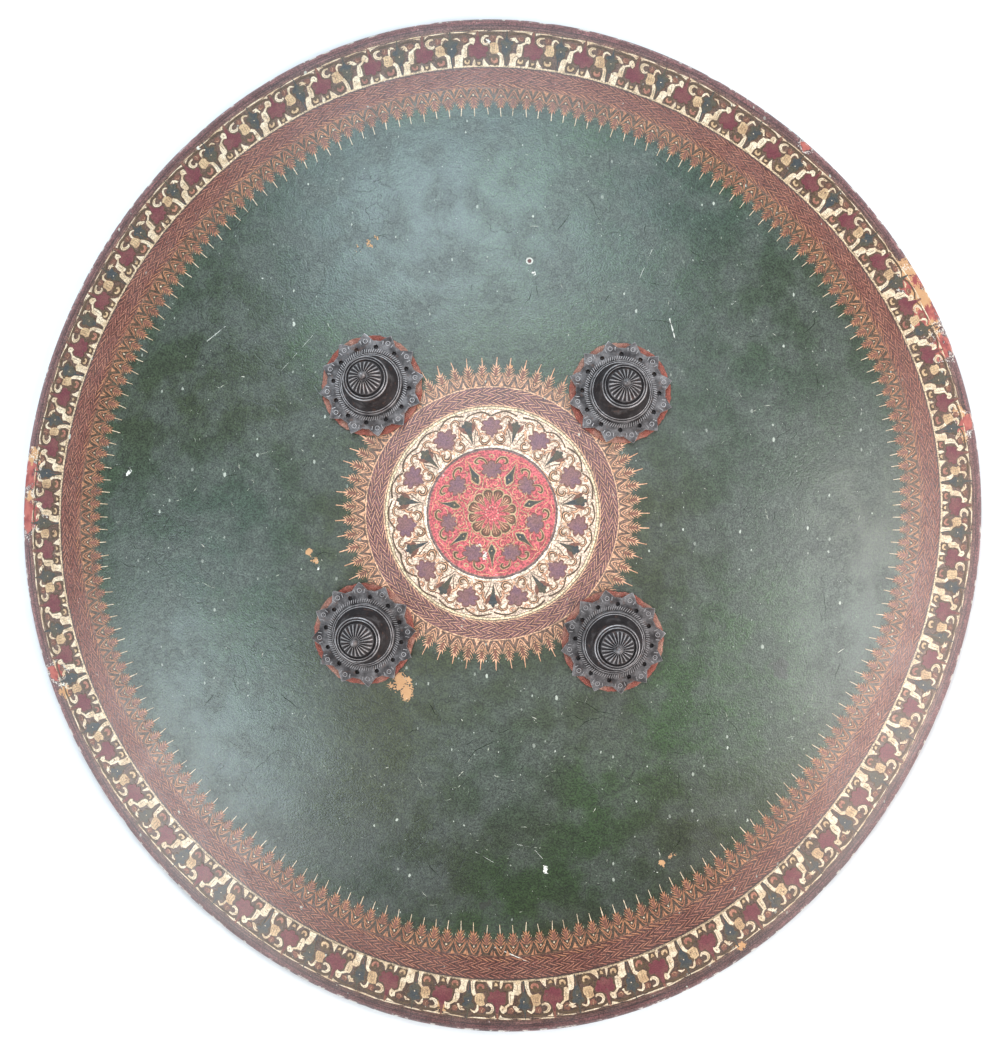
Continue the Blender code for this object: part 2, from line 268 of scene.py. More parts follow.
def on_face(x, y, lift):
    """Points at a height over the painted face, square to it."""
    across, along = face_slopes(x, y)
    rise = lift / np.sqrt(1 + across**2 + along**2)
    return np.stack((x - across * rise, y - along * rise, face_height(x, y) + rise), axis=-1)


def seat_matrix(corner):
    """Place of a boss: Z square to the hide, X to the right."""
    x, y = seat_place(corner)
    across, along = face_slopes(np.array(x), np.array(y))
    normal = Vector((-float(across), -float(along), 1)).normalized()
    up = normal.cross(Vector((1, 0, 0))).normalized()
    turn = Matrix((up.cross(normal), up, normal)).transposed().to_4x4()
    return Matrix.Translation((x, y, float(face_height(np.array(x), np.array(y))))) @ turn


def sag(radius):
    return radius**2 / (2 * SEAT_CURVE)


# Mesh tools


def skin(name, rows, start=None, end=None, loop=False):
    """Closed skin through rings of points, with a middle point at each end or joined in a loop."""
    rows = np.asarray(rows, float)
    count, steps = rows.shape[:2]
    points = rows.reshape(-1, 3).tolist()
    i, j = np.meshgrid(np.arange(count if loop else count - 1), np.arange(steps), indexing="ij")
    k, n = (i + 1) % count, (j + 1) % steps
    quads = np.stack((i * steps + j, k * steps + j, k * steps + n, i * steps + n), axis=-1)
    faces = quads.reshape(-1, 4).tolist()
    if start is not None:
        points.append(tuple(start))
        faces += [(len(points) - 1, a, (a + 1) % steps) for a in range(steps)]
    if end is not None:
        points.append(tuple(end))
        base = (count - 1) * steps
        faces += [(len(points) - 1, base + (a + 1) % steps, base + a) for a in range(steps)]
    mesh = bpy.data.meshes.new(name)
    mesh.from_pydata(points, [], faces)
    return mesh


def ring(turns, radius, level, middle=(0.0, 0.0)):
    """Points round an upright axis."""
    x, y = middle[0] + radius * np.cos(turns), middle[1] + radius * np.sin(turns)
    return np.stack((x, y, np.broadcast_to(level, x.shape)), axis=-1)


def points_of(mesh):
    points = np.zeros(len(mesh.vertices) * 3)
    mesh.vertices.foreach_get("co", points)
    return points.reshape(-1, 3)


def set_points(mesh, points):
    mesh.vertices.foreach_set("co", np.asarray(points, float).ravel())
    mesh.update()


def moved(mesh, matrix):
    mesh.transform(matrix)
    return mesh


def joined(name, meshes, outward=True):
    """One mesh of several, its faces pointing outwards."""
    form = bmesh.new()
    for mesh in meshes:
        form.from_mesh(mesh)
    if outward:
        bmesh.ops.recalc_face_normals(form, faces=form.faces)
    whole = bpy.data.meshes.new(name)
    form.to_mesh(whole)
    form.free()
    for mesh in meshes:
        bpy.data.meshes.remove(mesh)
    return whole


def put_value(mesh, name, values):
    layer = mesh.attributes.new(name, "FLOAT", "POINT")
    layer.data.foreach_set("value", np.asarray(values, np.float32).ravel())


def flat_uv(mesh):
    """Lays the piece out as seen from above, so that its wear is baked evenly."""
    points = points_of(mesh)[:, :2]
    low, high = points.min(0), points.max(0)
    spread = (points - low) / max(high - low) * 0.98 + 0.01
    corners = np.zeros(len(mesh.loops), int)
    mesh.loops.foreach_get("vertex_index", corners)
    layer = mesh.uv_layers.new(name="OFBake")
    layer.data.foreach_set("uv", spread[corners].ravel())


def finish_piece(name, mesh, material, replaces=(), smooth=None):
    """Makes the piece's object, hangs it under the root body and hides the solid parts that it
    replaces.
    """
    old = bpy.data.objects.get(name)
    if old is not None:
        bpy.data.objects.remove(old)
    mesh.name = name
    if not len(mesh.materials):
        mesh.materials.append(material)
    if smooth is None:
        mesh.shade_flat()
    else:
        mesh.shade_smooth()
        mesh.set_sharp_from_angle(angle=math.radians(smooth))
    piece = bpy.data.objects.new(name, mesh)
    bpy.context.scene.collection.objects.link(piece)
    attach(piece, "root")
    if replaces:
        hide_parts(*replaces)
    return piece


# Painted motifs, in millimetres


def arc(x, y, radius, start, end, steps=8):
    turns = np.radians(np.linspace(start, end, steps))
    return np.stack((x + radius * np.cos(turns), y + radius * np.sin(turns)), axis=-1)


def flowing(points, steps=4):
    """Smooth line through a few points."""
    points = np.asarray(points, float)
    ends = np.vstack((2 * points[0] - points[1], points, 2 * points[-1] - points[-2]))
    line = []
    for a, b, c, d in zip(ends, ends[1:], ends[2:], ends[3:]):
        for t in np.arange(steps) / steps:
            bend = 2 * a - 5 * b + 4 * c - d + t * (3 * b - a - 3 * c + d)
            line.append(b + 0.5 * t * (c - a) + 0.5 * t * t * bend)
    line.append(points[-1])
    return np.array(line)


def lobed(x, y, wide, tall, lobes, depth, turn=0.0, per_lobe=5):
    """Outline of a flower with pointed notches between its lobes."""
    turns = full_turn(lobes * per_lobe)
    reach = 1 - depth + depth * np.abs(np.sin(lobes * turns / 2)) ** 0.7
    turned = turns + math.radians(turn)
    return np.stack((x + wide * reach * np.cos(turned), y + tall * reach * np.sin(turned)), axis=-1)


def leaf(start, end, width, full=0.4):
    """Pointed leaf between two points, widest at a share of its length."""
    start, end = np.array(start, float), np.array(end, float)
    along = end - start
    side = np.array((-along[1], along[0])) / np.hypot(*along) * width / 2
    spots = ((0, 0), (full * 0.45, 0.72), (full, 1), ((full + 1) / 2, 0.62))
    right = [start + along * s - side * w for s, w in spots]
    left = [start + along * s + side * w for s, w in spots[:0:-1]]
    return np.array(right + [end] + left)


class Motif:
    """Flat shapes raised into thin closed plates, drawn in millimetres."""

    def __init__(self):
        self.points = []
        self.faces = []

    def plate(self, outline, lift, ribbon=False):
        outline = np.asarray(outline, float)
        ahead = np.roll(outline, -1, axis=0)
        if np.sum(outline[:, 0] * ahead[:, 1] - ahead[:, 0] * outline[:, 1]) < 0:
            outline = outline[::-1]
        step = np.roll(outline, -1, axis=0) - outline
        step /= np.maximum(np.linalg.norm(step, axis=1, keepdims=True), 1e-9)
        out = np.stack((step[:, 1], -step[:, 0]), axis=-1)
        out = out + np.roll(out, 1, axis=0)
        out /= np.maximum(np.linalg.norm(out, axis=1, keepdims=True), 0.7)
        base, n = len(self.points), len(outline)
        self.points += [(x, y, -SINK) for x, y in outline]
        self.points += [(x, y, lift) for x, y in outline - out * BEVEL]
        low, top = list(range(base, base + n)), list(range(base + n, base + 2 * n))
        if ribbon:
            for i in range(n // 2 - 1):
                j, k = n - 2 - i, n - 1 - i
                self.faces.append((top[i], top[i + 1], top[j], top[k]))
                self.faces.append((low[k], low[j], low[i + 1], low[i]))
        else:
            self.faces.append(tuple(top))
            self.faces.append(tuple(reversed(low)))
        for i in range(n):
            j = (i + 1) % n
            self.faces.append((low[i], low[j], top[j], top[i]))

    def stroke(self, line, width, lift, start=1.0, end=1.0):
        """Ribbon along a line; start and end are its width there as a share of the full width."""
        line = np.asarray(line, float)
        ahead = np.gradient(line, axis=0)
        ahead /= np.maximum(np.linalg.norm(ahead, axis=1, keepdims=True), 1e-9)
        along = np.linspace(0, 1, len(line))
        shape = np.interp(along, (0, 0.35, 0.65, 1), (start, 1, 1, end))[:, None]
        side = np.stack((ahead[:, 1], -ahead[:, 0]), axis=-1) * shape * width / 2
        self.plate(np.vstack((line + side, (line - side)[::-1])), lift, ribbon=True)

    def circle(self, x, y, radius, width, lift, steps=12):
        """Ring, open in the middle."""
        base = len(self.points)
        turns = full_turn(steps)
        for reach, level in (
            (radius + width / 2, -SINK), (radius + width / 2 - BEVEL, lift),
            (radius - width / 2 + BEVEL, lift), (radius - width / 2, -SINK),
        ):
            self.points += [(x + reach * math.cos(t), y + reach * math.sin(t), level) for t in turns]
        for row in range(4):
            for i in range(steps):
                j = (i + 1) % steps
                a, b = base + row * steps, base + (row + 1) % 4 * steps
                self.faces.append((a + i, a + j, b + j, b + i))

    def dot(self, x, y, radius, lift, steps=8):
        self.plate(arc(x, y, radius, 0, 360 - 360 / steps, steps), lift)

    def mesh(self, name):
        mesh = bpy.data.meshes.new(name)
        mesh.from_pydata([tuple(c * MM for c in p) for p in self.points], [], self.faces)
        return mesh


def motifs(colours):
    """An empty motif for each colour named."""
    return {colour: Motif() for colour in colours.split()}


# Node tools


class Wiring:
    """Adds nodes to a tree and joins them."""

    def __init__(self, tree):
        self.tree = tree

    def join(self, socket, value):
        if isinstance(value, bpy.types.NodeSocket):
            self.tree.links.new(value, socket)
        else:
            socket.default_value = value

    def feed(self, sockets, values):
        for name, value in dict(values).items():
            self.join(sockets[name], value)

    def add(self, kind, inputs=(), **settings):
        node = self.tree.nodes.new(kind)
        for name, value in settings.items():
            setattr(node, name, value)
        self.feed(node.inputs, inputs)
        return node

    def math(self, operation, *values):
        return self.add("ShaderNodeMath", enumerate(values), operation=operation).outputs[0]

    def times(self, first, second):
        return self.math("MULTIPLY", first, second)

    def plus(self, first, second):
        return self.math("ADD", first, second)

    def minus(self, first, second):
        return self.math("SUBTRACT", first, second)

    def larger(self, first, second):
        return self.math("MAXIMUM", first, second)

    def below(self, value, limit):
        return self.math("LESS_THAN", value, limit)

    def vector(self, operation, *values):
        node = self.add("ShaderNodeVectorMath", enumerate(values), operation=operation)
        return node.outputs["Value" if operation in ("LENGTH", "DOT_PRODUCT") else "Vector"]

    def scaled(self, vector, amount):
        inputs = {0: vector, "Scale": amount}
        return self.add("ShaderNodeVectorMath", inputs, operation="SCALE").outputs[0]

    def grey(self, value):
        return self.add("ShaderNodeCombineXYZ", {0: value, 1: value, 2: value}).outputs[0]

    def stored(self, name):
        """Value that is stored on the piece's mesh."""
        return self.add("ShaderNodeAttribute", attribute_name=name).outputs["Fac"]

    def noise(self, place, scale, detail):
        settings = {"Vector": place, "Scale": scale, "Detail": detail}
        return self.add("ShaderNodeTexNoise", settings).outputs["Fac"]

    def cell_edges(self, place, scale):
        settings = {"Vector": place, "Scale": scale}
        node = self.add("ShaderNodeTexVoronoi", settings, feature="DISTANCE_TO_EDGE")
        return node.outputs["Distance"]

    def fade(self, value, low, high, start=0.0, end=1.0):
        settings = {"Value": value, "From Min": low, "From Max": high, "To Min": start, "To Max": end}
        node = self.add("ShaderNodeMapRange", settings, interpolation_type="SMOOTHSTEP")
        return node.outputs["Result"]

    def blend(self, share, first, second, kind="MIX"):
        settings = {0: share, 6: first, 7: second}
        return self.add("ShaderNodeMix", settings, data_type="RGBA", blend_type=kind).outputs[2]

    def shaded(self, colour, value):
        """The colour made darker or lighter by a value."""
        return self.blend(1.0, colour, self.grey(value), "MULTIPLY")

    def near(self, value, middle, width):
        """Thin line where a value passes its middle."""
        return self.fade(self.math("ABSOLUTE", self.minus(value, middle)), 0.0, width, 1.0, 0.0)

    def bump(self, height, strength, distance):
        settings = {"Height": height, "Strength": strength, "Distance": distance}
        return self.add("ShaderNodeBump", settings).outputs["Normal"]

    def group(self, tree, inputs):
        return self.add("ShaderNodeGroup", inputs, node_tree=tree).outputs

    def bands(self, value, reach, stops):
        """Colours that change at given distances, in millimetres."""
        node = self.add("ShaderNodeValToRGB", {0: self.math("DIVIDE", value, reach * MM)})
        ramp = node.color_ramp
        ramp.interpolation = "CONSTANT"
        for place, colour in stops[1:]:
            ramp.elements.new(place / reach).color = (*colour, 1)
        ramp.elements.remove(ramp.elements[len(ramp.elements) - 1])
        ramp.elements[0].color = (*stops[0][1], 1)
        return node.outputs["Color"]


def built_once(build):
    """Uses the node group that is there already, or else builds it."""
    def group():
        return bpy.data.node_groups.get(build.__name__) or build(build.__name__)

    return group


def new_group(name, takes, gives, kind="ShaderNodeTree"):
    """Empty group: each input is given a default, or the kind of its socket as a word."""
    tree = bpy.data.node_groups.new(name, kind)
    for label, default in takes.items():
        bare = isinstance(default, str)
        word = default if bare else {float: "Float", int: "Int"}.get(type(default), "Color")
        socket = tree.interface.new_socket(label, in_out="INPUT", socket_type="NodeSocket" + word)
        if not bare:
            socket.default_value = default
    for label, word in gives.items():
        tree.interface.new_socket(label, in_out="OUTPUT", socket_type="NodeSocket" + word)
    w = Wiring(tree)
    return tree, w, w.add("NodeGroupInput").outputs, w.add("NodeGroupOutput").inputs


# Repeating along a strip


@built_once
def repeat_along_strip(name):
    """Copies of a motif at even steps along X, each slightly off its place, turn and size."""
    takes = {
        "Geometry": "Geometry", "Motif": "Object", "Count": 12, "Pitch": 0.01, "Distance": 0.0,
        "Stray": 0.0, "Turn": 0.0, "Size Change": 0.0, "Seed": 1, "Finish": "Material",
    }
    tree, w, given, out = new_group(name, takes, {"Geometry": "Geometry"}, "GeometryNodeTree")
    tree.is_modifier = True
    offset = w.add("ShaderNodeCombineXYZ", {"X": given["Pitch"]}).outputs[0]
    start = w.add("ShaderNodeCombineXYZ", {"Y": given["Distance"]}).outputs[0]
    line = w.add("GeometryNodeMeshLine", {
        "Count": given["Count"], "Start Location": start, "Offset": offset,
    })
    motif = w.add("GeometryNodeObjectInfo", {"Object": given["Motif"]})

    def random_value(low, high, number, kind="FLOAT"):
        seed = w.plus(given["Seed"], float(number))
        node = w.add("FunctionNodeRandomValue", data_type=kind)
        live = [s for s in node.inputs if s.enabled]
        for socket, value in zip(live, (low, high)):
            w.join(socket, value)
        w.join(node.inputs["Seed"], seed)
        return [s for s in node.outputs if s.enabled][0]

    stray = given["Stray"]
    back = w.times(stray, -1.0)
    low = w.add("ShaderNodeCombineXYZ", {"X": back, "Y": back}).outputs[0]
    high = w.add("ShaderNodeCombineXYZ", {"X": stray, "Y": stray}).outputs[0]
    shaken = w.add("GeometryNodeSetPosition", {
        "Geometry": line.outputs["Mesh"], "Offset": random_value(low, high, 1, "FLOAT_VECTOR"),
    })
    turn_back = w.times(given["Turn"], -1.0)
    turn = w.add("ShaderNodeCombineXYZ", {"Z": random_value(turn_back, given["Turn"], 2)})
    smaller = w.minus(1.0, given["Size Change"])
    larger = w.plus(1.0, given["Size Change"])
    size = random_value(smaller, larger, 3)
    scale = w.add("ShaderNodeCombineXYZ", {"X": size, "Y": size, "Z": 1.0})
    copies = w.add("GeometryNodeInstanceOnPoints", {
        "Points": shaken.outputs[0], "Instance": motif.outputs["Geometry"],
        "Rotation": turn.outputs[0], "Scale": scale.outputs[0],
    })
    real = w.add("GeometryNodeRealizeInstances", {"Geometry": copies.outputs[0]})
    done = w.add("GeometryNodeSetMaterial", {
        "Geometry": real.outputs[0], "Material": given["Finish"],
    })
    w.join(out["Geometry"], done.outputs[0])
    return tree


def repeated(motif, material, count, pitch, distance=0.0, stray=0.0, turn=0.0, change=0.0, seed=1):
    """Mesh of a motif repeated along a strip. Lengths are in millimetres, the turn in degrees."""
    pattern = bpy.data.objects.new("motif", motif.mesh("motif"))
    base = bpy.data.meshes.new("strip")
    base.from_pydata([(0, 0, 0)], [], [])
    strip = bpy.data.objects.new("strip", base)
    for item in (pattern, strip):
        bpy.context.scene.collection.objects.link(item)
    modifier = strip.modifiers.new("Repeat", "NODES")
    modifier.node_group = repeat_along_strip()
    values = {
        "Motif": pattern, "Count": count, "Pitch": pitch * MM, "Distance": distance * MM,
        "Stray": stray * MM, "Turn": math.radians(turn), "Size Change": change, "Seed": seed,
        "Finish": material,
    }
    for item in modifier.node_group.interface.items_tree:
        if item.in_out == "INPUT" and item.name in values:
            modifier[item.identifier] = values[item.name]
    shown = strip.evaluated_get(bpy.context.evaluated_depsgraph_get())
    mesh = bpy.data.meshes.new_from_object(shown)
    strip.modifiers.remove(modifier)
    for item in (pattern, strip):
        data = item.data
        bpy.data.objects.remove(item)
        bpy.data.meshes.remove(data)
    return mesh


def laid_on_border(x, y, whole, start):
    """Where a point of a strip falls on the border: y counts outwards from the edge."""
    turn = start - math.tau * x / whole
    turn = turn + waves(turn, BORDER_SPREAD)
    radius = outline_radius(turn) - border_reach(turn, -y)
    return radius * np.cos(turn) - SHIFT[0], radius * np.sin(turn) - SHIFT[1]


def laid_on_medallion(x, y, whole, start):
    """Where a point of a strip falls on the medallion: y is the distance from its middle."""
    turn = start - math.tau * x / whole
    return MIDDLE[0] + y * np.cos(turn), MIDDLE[1] + y * np.sin(turn)


def bent_onto_face(mesh, layout, whole, start, wobble):
    points = points_of(mesh)
    x, y = layout(points[:, 0], points[:, 1], whole * MM, math.radians(start))
    shake = wobble * MM
    x = x + shake * (drift(x, y, 0.0036, 11) + 0.4 * drift(x, y, 0.0013, 12))
    y = y + shake * (drift(x, y, 0.0036, 13) + 0.4 * drift(x, y, 0.0013, 14))
    set_points(mesh, on_face(x, y, points[:, 2]))
    return mesh


def laid_as_drawn(x, y, whole, start):
    """A drawing whose X and Y are already those of the face."""
    return x, y


class Painter:
    """Collects painted strips by colour, and makes one piece of each colour."""

    def __init__(self, place, layout):
        self.place = place
        self.layout = layout
        self.strips = {}

    def add(self, unit, count, pitch, distance, start=0.0, **loose):
        ornament = bpy.context.scene.shield_ornament
        for colour, motif in unit.items():
            centred = Motif()
            centred.points = [(x, y - distance, z) for x, y, z in motif.points]
            centred.faces = motif.faces
            mesh = repeated(centred, paint(colour), count, pitch, distance, **loose)
            bent_onto_face(mesh, self.layout, count * pitch, start, ornament.wobble)
            self.strips.setdefault(colour, []).append(mesh)

    def finish(self):
        for colour, meshes in self.strips.items():
            name = f"{self.place}_{colour}"
            whole = joined(name, meshes, outward=False)
            flat_uv(whole)
            finish_piece(name, whole, paint(colour))


# Border motifs


UNIT_FLOWERS = 5  # flowers drawn before the border repeats
FLOWER_PITCH = 26.0  # mm
FLOWER_SIDES = (  # shapes beside a border flower: colour, lift, (x from the flower, depth)
    ("cream", 0.08, (
        (-11.6, 25.3), (-11.0, 22.0), (-11.2, 19.6), (-9.4, 18.4), (-7.2, 18.6), (-7.3, 20.6),
        (-7.9, 22.4), (-7.7, 25.3))),
    ("cream", 0.08, (
        (-7.0, 13.4), (-5.6, 13.2), (-4.9, 14.0), (-4.9, 16.6), (-5.1, 18.4), (-5.3, 19.8),
        (-6.6, 20.2), (-7.6, 19.0), (-7.8, 16.0), (-7.3, 14.6))),
    ("cream", 0.09, (
        (-10.5, 11.7), (-9.4, 10.5), (-8.7, 9.9), (-8.0, 10.8), (-7.0, 12.6), (-7.6, 12.9),
        (-9.6, 12.3))),
    ("cream", 0.09, (
        (-3.9, 10.0), (-2.6, 9.3), (-1.7, 9.6), (-1.1, 11.2), (-0.8, 13.2), (-1.3, 13.7),
        (-2.2, 12.9), (-3.4, 12.3), (-4.0, 11.4))),
    ("cream", 0.08, ((-4.2, 6.9), (-0.8, 6.9), (-1.0, 8.2), (-2.2, 7.6))),
    ("cream", 0.08, ((0.9, 6.9), (3.4, 6.9), (1.8, 7.6), (1.1, 8.4))),
    ("cream", 0.08, ((-2.9, 25.3), (-2.3, 23.0), (-1.6, 21.2), (-1.1, 23.4), (-1.3, 25.3))),
    ("cream", 0.08, ((2.4, 25.3), (2.5, 22.4), (3.0, 20.8), (4.2, 22.8), (5.9, 25.3))),
    ("gold", 0.09, (
        (6.0, 13.2), (7.6, 12.6), (9.4, 12.5), (10.5, 14.4), (10.9, 16.6), (10.5, 18.2),
        (9.2, 18.6), (7.0, 18.7), (5.9, 17.2), (6.2, 15.2))),
    ("cream", 0.08, (
        (10.6, 25.3), (11.0, 22.6), (10.7, 19.6), (9.8, 18.2), (11.0, 17.2), (12.3, 19.0),
        (12.9, 22.2), (13.2, 25.3))),
)
FLOWER_BODY = (
    (-0.5, 9.0), (-0.9, 12.0), (-1.6, 13.6), (-2.9, 13.1), (-4.0, 14.2), (-4.4, 15.8), (-3.8, 17.0),
    (-4.5, 18.4), (-3.9, 19.8), (-2.7, 20.2), (-1.7, 19.5), (-0.9, 20.9), (0.4, 21.5), (1.5, 20.8),
    (2.1, 19.7), (3.4, 20.4), (4.4, 19.5), (4.1, 18.2), (5.0, 17.0), (5.1, 15.4), (4.2, 14.5),
    (2.8, 14.6), (1.8, 13.4), (1.0, 12.0), (0.7, 9.0),
)
FLOWER_VEINS = (  # fine lines on the shapes beside a flower: points, width
    (((-6.1, 14.4), (-6.0, 16.4), (-6.2, 18.6)), 0.34), (((-9.4, 20.9), (-9.3, 23.2)), 0.36),
    (((7.2, 13.6), (7.3, 15.6), (7.5, 17.8)), 0.26), (((8.4, 13.4), (8.6, 15.4), (8.6, 17.6)), 0.24),
    (((9.5, 14.2), (9.8, 16.0), (9.7, 17.6)), 0.22), (((12.0, 20.0), (12.2, 22.0), (12.1, 24.6)), 0.3),
    (((-8.7, 11.2), (-8.5, 12.0)), 0.5), (((-2.4, 10.7), (-2.2, 11.6)), 0.7),
)
BUD_SIDE = (
    (0.35, 5.9), (0.5, 8.6), (0.9, 10.2), (1.7, 11.2), (3.5, 11.5), (4.2, 12.3), (4.0, 13.4),
    (2.7, 14.2), (3.2, 15.4), (3.1, 16.9), (2.1, 18.2), (1.3, 19.2), (1.0, 21.0), (0.6, 23.2),
    (0.3, 25.3),
)


def border_flower_unit():
    """Maroon flowers with the scrolls beside each and a bud after it, no two quite alike."""
    unit = motifs("cream gold maroon green brick rust olive")
    cream, gold, maroon, green, brick, rust, olive = unit.values()
    loose = np.random.default_rng(9)
    for number in range(UNIT_FLOWERS):
        middle = FLOWER_PITCH * number + loose.uniform(-0.9, 0.3)
        size = loose.uniform(0.94, 1.06)

        def at(points, shake=0.0):
            points = np.asarray(points, float)
            free = points[..., 1:] < 25
            return (points + loose.uniform(-shake, shake, points.shape) * free) * (1, -1) + (middle, 0)

        for colour, lift, outline in FLOWER_SIDES:
            if loose.uniform() > 0.06:
                unit[colour].plate(at(outline, 0.3), lift)
        # scrolls: a hook on one side, a curled leaf on the other, a round curl at each foot
        hook = flowing(((5.4, 9.0), (3.5, 9.2), (2.3, 10.9), (3.0, 12.7), (4.7, 13.4), (5.5, 12.4)), 2)
        cream.stroke(at(hook), loose.uniform(1.3, 1.8), 0.10, 0.5, 0.5)
        olive.stroke(at(hook), 0.22, 0.13, 0.5, 0.5)
        neck = flowing(((-3.3, 12.1), (-4.6, 13.0), (-5.9, 14.0)), 2)
        cream.stroke(at(neck), 1.1, 0.09, 0.8, 0.9)
        curl = flowing(((9.4, 13.0), (9.5, 10.6), (10.8, 9.3), (12.6, 10.4)), 2)
        cream.stroke(at(curl), 1.25, 0.10, 0.6, 0.4)
        rust.plate(at(lobed(-6.0, 10.6, 1.7, 1.6, 5, 0.2), 0.2), 0.11)
        gold.stroke(at(arc(-6.0, 10.7, 0.9, 20, 230, 5)), 0.34, 0.14, 0.4, 0.4)
        rust.plate(at(lobed(7.5, 10.4, 1.6, 1.7, 5, 0.2), 0.2), 0.11)
        gold.stroke(at(((7.3, 8.8), (7.6, 10.2), (7.0, 11.4))), 0.32, 0.14, 0.5, 0.4)
        for x, y, radius, way in ((-5.3, 22.3, 2.3, 1), (8.2, 21.8, 2.7, -1)):
            olive.plate(at(arc(x, y, radius, 0, 330, 11), 0.15), 0.12)
            inner = arc(x, y, radius * 0.52, 90 - way * 120, 90 + way * 130, 7)
            (gold if loose.uniform() < 0.4 else brick).stroke(at(inner), radius * 0.58, 0.15, 0.4, 0.5)
            rust.stroke(at(arc(x, y, radius * 0.25, 0, 200, 4)), 0.35, 0.17, 0.5, 0.5)
        stem = flowing(((5.2, 18.4), (5.4, 20.8), (6.6, 23.2), (8.6, 24.5), (10.6, 23.8)), 2)
        olive.stroke(at(stem), 0.9, 0.13, 0.5, 0.4)
        olive.plate(at(((-1.0, 22.5), (2.4, 22.3), (2.0, 24.3), (0.8, 25.2), (-0.4, 24.6)), 0.15), 0.12)
        gold.plate(at(((-0.3, 22.9), (1.6, 22.8), (1.2, 24.0), (0.6, 24.5), (0.0, 24.1))), 0.15)
        for vein, width in FLOWER_VEINS:
            olive.stroke(at(vein), width, 0.13, 0.5, 0.5)
        body = np.asarray(FLOWER_BODY, float)
        body = (body - (0, 16)) * size + (0, 16)
        olive.plate(at((body - (0.3, 16.2)) * (1.12, 1.06) + (0.3, 16.2), 0.15), 0.10)
        maroon.plate(at(body, 0.28), 0.16)
        stalk = ((0.5, 6.0), (0.7, 9.0), (1.0, 12.2), (-0.8, 12.2), (-0.5, 9.0), (-0.4, 6.0))
        rust.plate(at(stalk), 0.14)
        for foot in (12.8, -12.6):
            crest = ((0.08, 9.4), (0.3, 7.9), (0.6, 7.6), (0.8, 8.1), (1.0, 9.8))
            crest = [(foot * x, y) for x, y in crest]
            olive.stroke(at(crest, 0.15), 1.0, 0.10, 0.7, 0.7)

        bud = FLOWER_PITCH * (number + 0.5) + loose.uniform(-0.2, 0.9)
        outline = np.array(BUD_SIDE) * (loose.uniform(0.90, 1.04), -1)
        for colour, wide, lift in ((olive, 1.0, 0.12), (green, 0.76, 0.16)):
            side = outline * (wide, 1) + loose.uniform(-0.16, 0.16, outline.shape)
            other = outline * (-wide, 1) + loose.uniform(-0.16, 0.16, outline.shape)
            colour.plate(np.vstack((side, other[::-1])) + (bud, 0), lift)
        cream.stroke(((bud + 1.6, -10.0), (bud + 3.2, -10.0), (bud + 4.5, -11.4)), 1.1, 0.13, 0.5, 0.5)
        cream.dot(bud, -15.0, 0.36, 0.22, 6)
        rust.stroke(((bud + 0.2, -20.0), (bud + 0.1, -23.8)), 0.6, 0.18, 0.8, 0.4)
    return unit


def line_dash_unit():
    """Lens-shaped dashes of the pale line near the edge."""
    unit = motifs("cream")
    lens = ((-4.6, -6.65), (-2.0, -6.98), (2.4, -6.9), (4.4, -6.6), (2.2, -6.35), (-2.2, -6.32))
    unit["cream"].plate(lens, 0.14)
    return unit


def chevron_unit(colours, pitch, low, high, width, reach):
    """One slanting stroke in each row of the herringbone, the rows slanting in turn."""
    unit = motifs(colours)
    colours = colours.split()
    step = (high - low) / len(colours)
    for row, colour in enumerate(colours):
        y = low + step * row + 0.12
        top = y + step - 0.24
        way = reach if row % 2 else -reach
        shift = 0.3 * pitch * (row % 3)
        ends = ((-way + shift, y), (0.1 * way + shift, (y + top) / 2), (way + shift, top))
        unit[colour].stroke(ends, width, 0.09, start=0.6, end=0.6)
    return unit


def finial_unit(base, out, arches, slim):
    """Arch, bead, palmette and spike; base is where it stands and out the way it points."""
    unit = motifs("orange rust cream")
    orange, rust, cream = unit.values()

    def at(*points):
        return [(x, base + out * y) for x, y in points]

    for k in range(arches):
        foot, peak = 6.1 - 0.25 * k, 0.6 + 1.35 * k
        side = 3.15 - 0.85 * k
        for way in (1, -1):
            line = at((0, peak), (way * side * 0.30, peak + 1.0), (way * side * 0.68, foot - 2.0),
                      (way * side, foot))
            orange.stroke(line, (0.52 - 0.10 * k) * slim, 0.14, end=0.6)
    for way in (1, -1):
        orange.plate(at((way * 1.9, 0.1), (way * 3.2, 0.1), (way * 3.2, 2.9), (way * 2.7, 1.7)), 0.13)
    cream.dot(0, base + out * 3.9, 0.42 * slim, 0.2, 7)
    rust.plate(at(*((x * slim, y) for x, y in (
        (0, 4.3), (0.75, 5.0), (1.2, 6.6), (1.0, 8.3), (0.3, 9.7), (-0.3, 9.7),
        (-1.0, 8.3), (-1.2, 6.6), (-0.75, 5.0)))), 0.15)
    for k in range(4):
        y = 4.7 + 1.2 * k
        reach = (2.8 - 0.4 * k) * (0.6 + 0.4 * slim)
        for way in (1, -1):
            orange.plate(leaf(*at((way * 0.35, y), (way * reach, y + 2.1)), 0.58 * slim, 0.45), 0.17)
    for way in (1, -1):
        cream.dot(way * 2.2, base + out * 8.3, 0.24, 0.19, 5)
    orange.plate(at((-0.42, 8.6), (0.42, 8.6), (0.3, 10.8), (-0.3, 10.8)), 0.18)
    cream.plate(at((-0.24, 10.2), (0.24, 10.2), (0.17, 13.9), (-0.17, 13.9)), 0.2)
    return unit


# Medallion motifs; y is the distance from its middle


